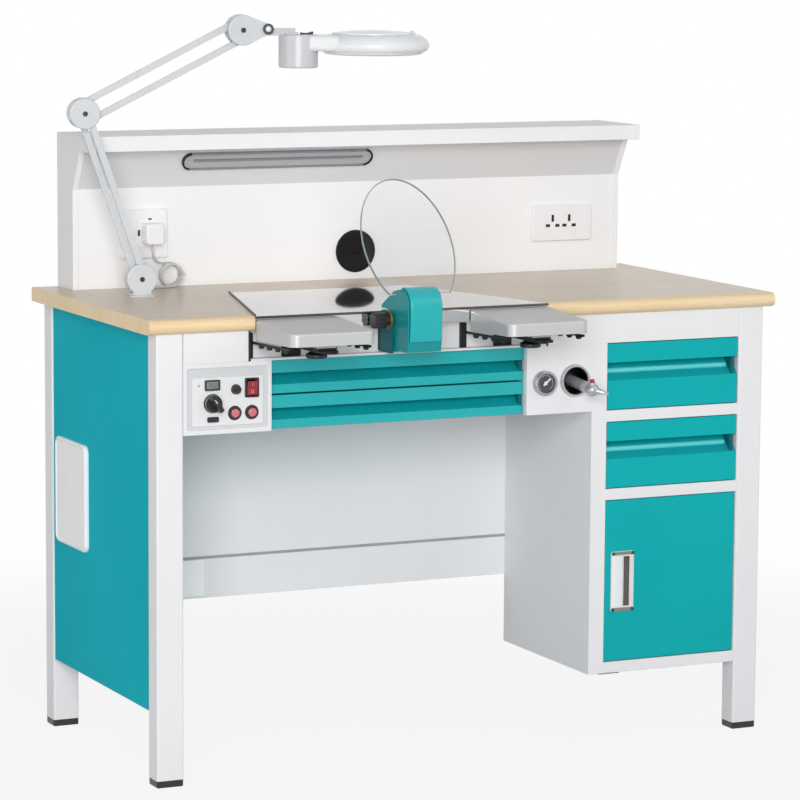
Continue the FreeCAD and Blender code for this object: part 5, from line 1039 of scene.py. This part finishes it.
# bowed lid over the suction head's front and brow, on a dark strip that is painted shade of the gap round the
# lid
headLid = Spec(
    x=-0.134, half=0.0292, foot=(-0.2935, 0.749), browFoot=(-0.2935, 0.812), brow=(-0.2855, 0.8285),
    crown=(-0.264, 0.836), skin=0.0027, bow=0.0062, power=0.3, sealHalf=0.0303, sealSkin=0.0023)


def addHeadLid(spec):
    # outline: a line up the front, then the circle through the brow's three points;
    # point = outline + s (skin + bow sin(pi t)) outwards, x and s going round a squared oval
    foot, start, middle, end = (np.array(spec[key]) for key in ("foot", "browFoot", "brow", "crown"))
    lines = np.array([middle - start, end - start])
    centre = start + np.linalg.solve(2 * lines, (lines ** 2).sum(1))
    reach = np.linalg.norm(start - centre)
    turns = np.arctan2(*(np.array([start, end]) - centre).T[::-1]) % (2 * np.pi)
    arc = np.linspace(*turns, 15)[1:, None]
    brow = centre + reach * np.concatenate([np.cos(arc), np.sin(arc)], 1)
    outline = np.concatenate([straight(foot, start, 16), brow])
    steps = np.linalg.norm(np.diff(outline, axis=0), axis=1)
    t = np.concatenate([[0], np.cumsum(steps)])[:, None] / steps.sum()
    way = np.gradient(outline, axis=0)
    out = unit(np.stack([-way[:, 1], way[:, 0]], 1))

    def shell(half, skin, bow):
        loop = ovalProfile(half, 0.5, 48, spec.power)
        rise = (loop[:, 1] + 0.5) * (skin + bow * np.sin(np.pi * t))
        side = np.broadcast_to(spec.x + loop[:, 0], rise.shape)
        y, z = (outline[:, k:k + 1] + out[:, k:k + 1] * rise for k in (0, 1))
        return shut(np.stack([side, y, z], -1))

    lid = shell(spec.half, spec.skin, spec.bow)
    makePiece("headLid", [lid], "suction_head", "teal_paint", "lidTeal")
    shadeStrip = shell(spec.sealHalf, spec.sealSkin, 0)
    makePiece("headLidShadeStrip", [shadeStrip], "suction_head", "black_rubber", "deepTeal")


addHeadLid(headLid)


# brass washer on the suction head's clamp
clampWasher = Spec(middle=(-0.1736, -0.2295, 0.781), inner=0.0042, outer=0.016, thick=0.003, bevel=0.0005)


def addClampWasher(spec):
    # ring of revolution with a softened edge
    r, w, t, b = spec.inner, spec.outer, spec.thick, spec.bevel
    ring = turnedForm([(r, 0), (w - b, 0), (w, b), (w, t - b), (w - b, t), (r, t), (r, 0)], 40)
    ring = placed(ring, spec.middle, (1, 0, 0), (0, 1, 0))
    makePiece("clampWasher", [ring], "suction_knob", "chrome", "brassDisc")


addClampWasher(clampWasher)


# pan-head screws that hold the rear panel
rearScrew = Spec(
    radius=0.0042, rise=0.002, dome=[(1, 0.35), (0.8, 0.85), (0.6, 1)], socket=0.0016, floor=0.4, steps=24,
    inset=0.022, across=4)


def addRearScrews(spec):
    # two rows over the panel's back, at equal steps between its insets
    low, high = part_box("rear_panel")
    screw, inset = screwForm(spec), spec.inset
    xs = np.linspace(low[0] + inset, high[0] - inset, spec.across)
    forms = [placed(screw, (x, high[1], z), (0, 1, 0)) for x in xs for z in (low[2] + inset, high[2] - inset)]
    makePiece("rearScrews", forms, "bench", "zinc")


addRearScrews(rearScrew)
print("bench trim made")


# floor, sky and lamps
frontLamp = Spec(aim=(0, 0, 0.7), size=3, glare=True)
studio = Spec(
    floor=24, floorTone=0.5, shadow=0.12, fade=(0.9, 2.2), ambient=0.36,
    lamps=dict(
        cameraSide=Spec(frontLamp, place=(-2.8, -5.8, 2), power=270),
        rightFront=Spec(frontLamp, place=(3.6, -4, 3.2), power=42),
        left=Spec(frontLamp, place=(-5.5, -1, 1), power=36),
        rear=Spec(place=(4.8, 3.4, 1.7), aim=(0, 0, 0.6), size=2.5, power=60, glare=False)))
white = (1, 1, 1, 1)


def skyShare(finish):
    # 1 for rays that show the background: straight from the camera, off metal or through glass
    path = finish.node("LightPath")
    return path["Is Camera Ray"].most(path["Is Glossy Ray"]).most(path["Is Transmission Ray"])


def addSky(spec):
    # white where the background shows, and only the ambient share of it as light
    sky = Finish(bpy.data.worlds.new("paleStudio"))
    scene.world = sky.owner
    strength = skyShare(sky) * (1 - spec.ambient) + spec.ambient
    shine = sky.node("Background", {"Color": white, "Strength": strength})[0]
    sky.node("OutputWorld", {"Surface": shine})


def addFloor(spec):
    # a square that glows white, with a small share of lit grey near the bench so that it shows a shadow
    half = spec.floor / 2
    mesh = bpy.data.meshes.new("paleFloor")
    corners = [(-half, -half, 0), (half, -half, 0), (half, half, 0), (-half, half, 0)]
    mesh.from_pydata(corners, [], [(0, 1, 2, 3)])
    floor = addObject("paleFloor", mesh)
    f = Finish(bpy.data.materials.new("paleFloor"))
    x, y, _ = f.along()
    near, far = (edge * edge for edge in spec.fade)
    away = (x * x + y * y).above((near + far) / 2, (far - near) / 2)
    lit = f.node("BsdfDiffuse", {"Color": (spec.floorTone,) * 3 + (1,)})[0]
    glow = f.node("Emission", {"Color": white, "Strength": 1})[0]
    share = skyShare(f) * (away * spec.shadow + (1 - spec.shadow))
    both = f.node("MixShader", {0: share, 1: lit, 2: glow})[0]
    f.node("OutputMaterial", {"Surface": both})
    mesh.materials.append(f.owner)


def addLamps(spec):
    # square area lamps, each turned from its place towards its aim
    for name, lamp in spec.lamps.items():
        data = bpy.data.lights.new(name + "Light", "AREA")
        data.size = lamp.size
        data.energy = lamp.power
        light = addObject(name + "Light", data)
        light.location = lamp.place
        aim = Vector(lamp.aim) - Vector(lamp.place)
        light.rotation_euler = aim.to_track_quat("-Z", "Y").to_euler()
        light.visible_glossy = lamp.glare


addSky(studio)
addFloor(studio)
addLamps(studio)
print("studio lit")
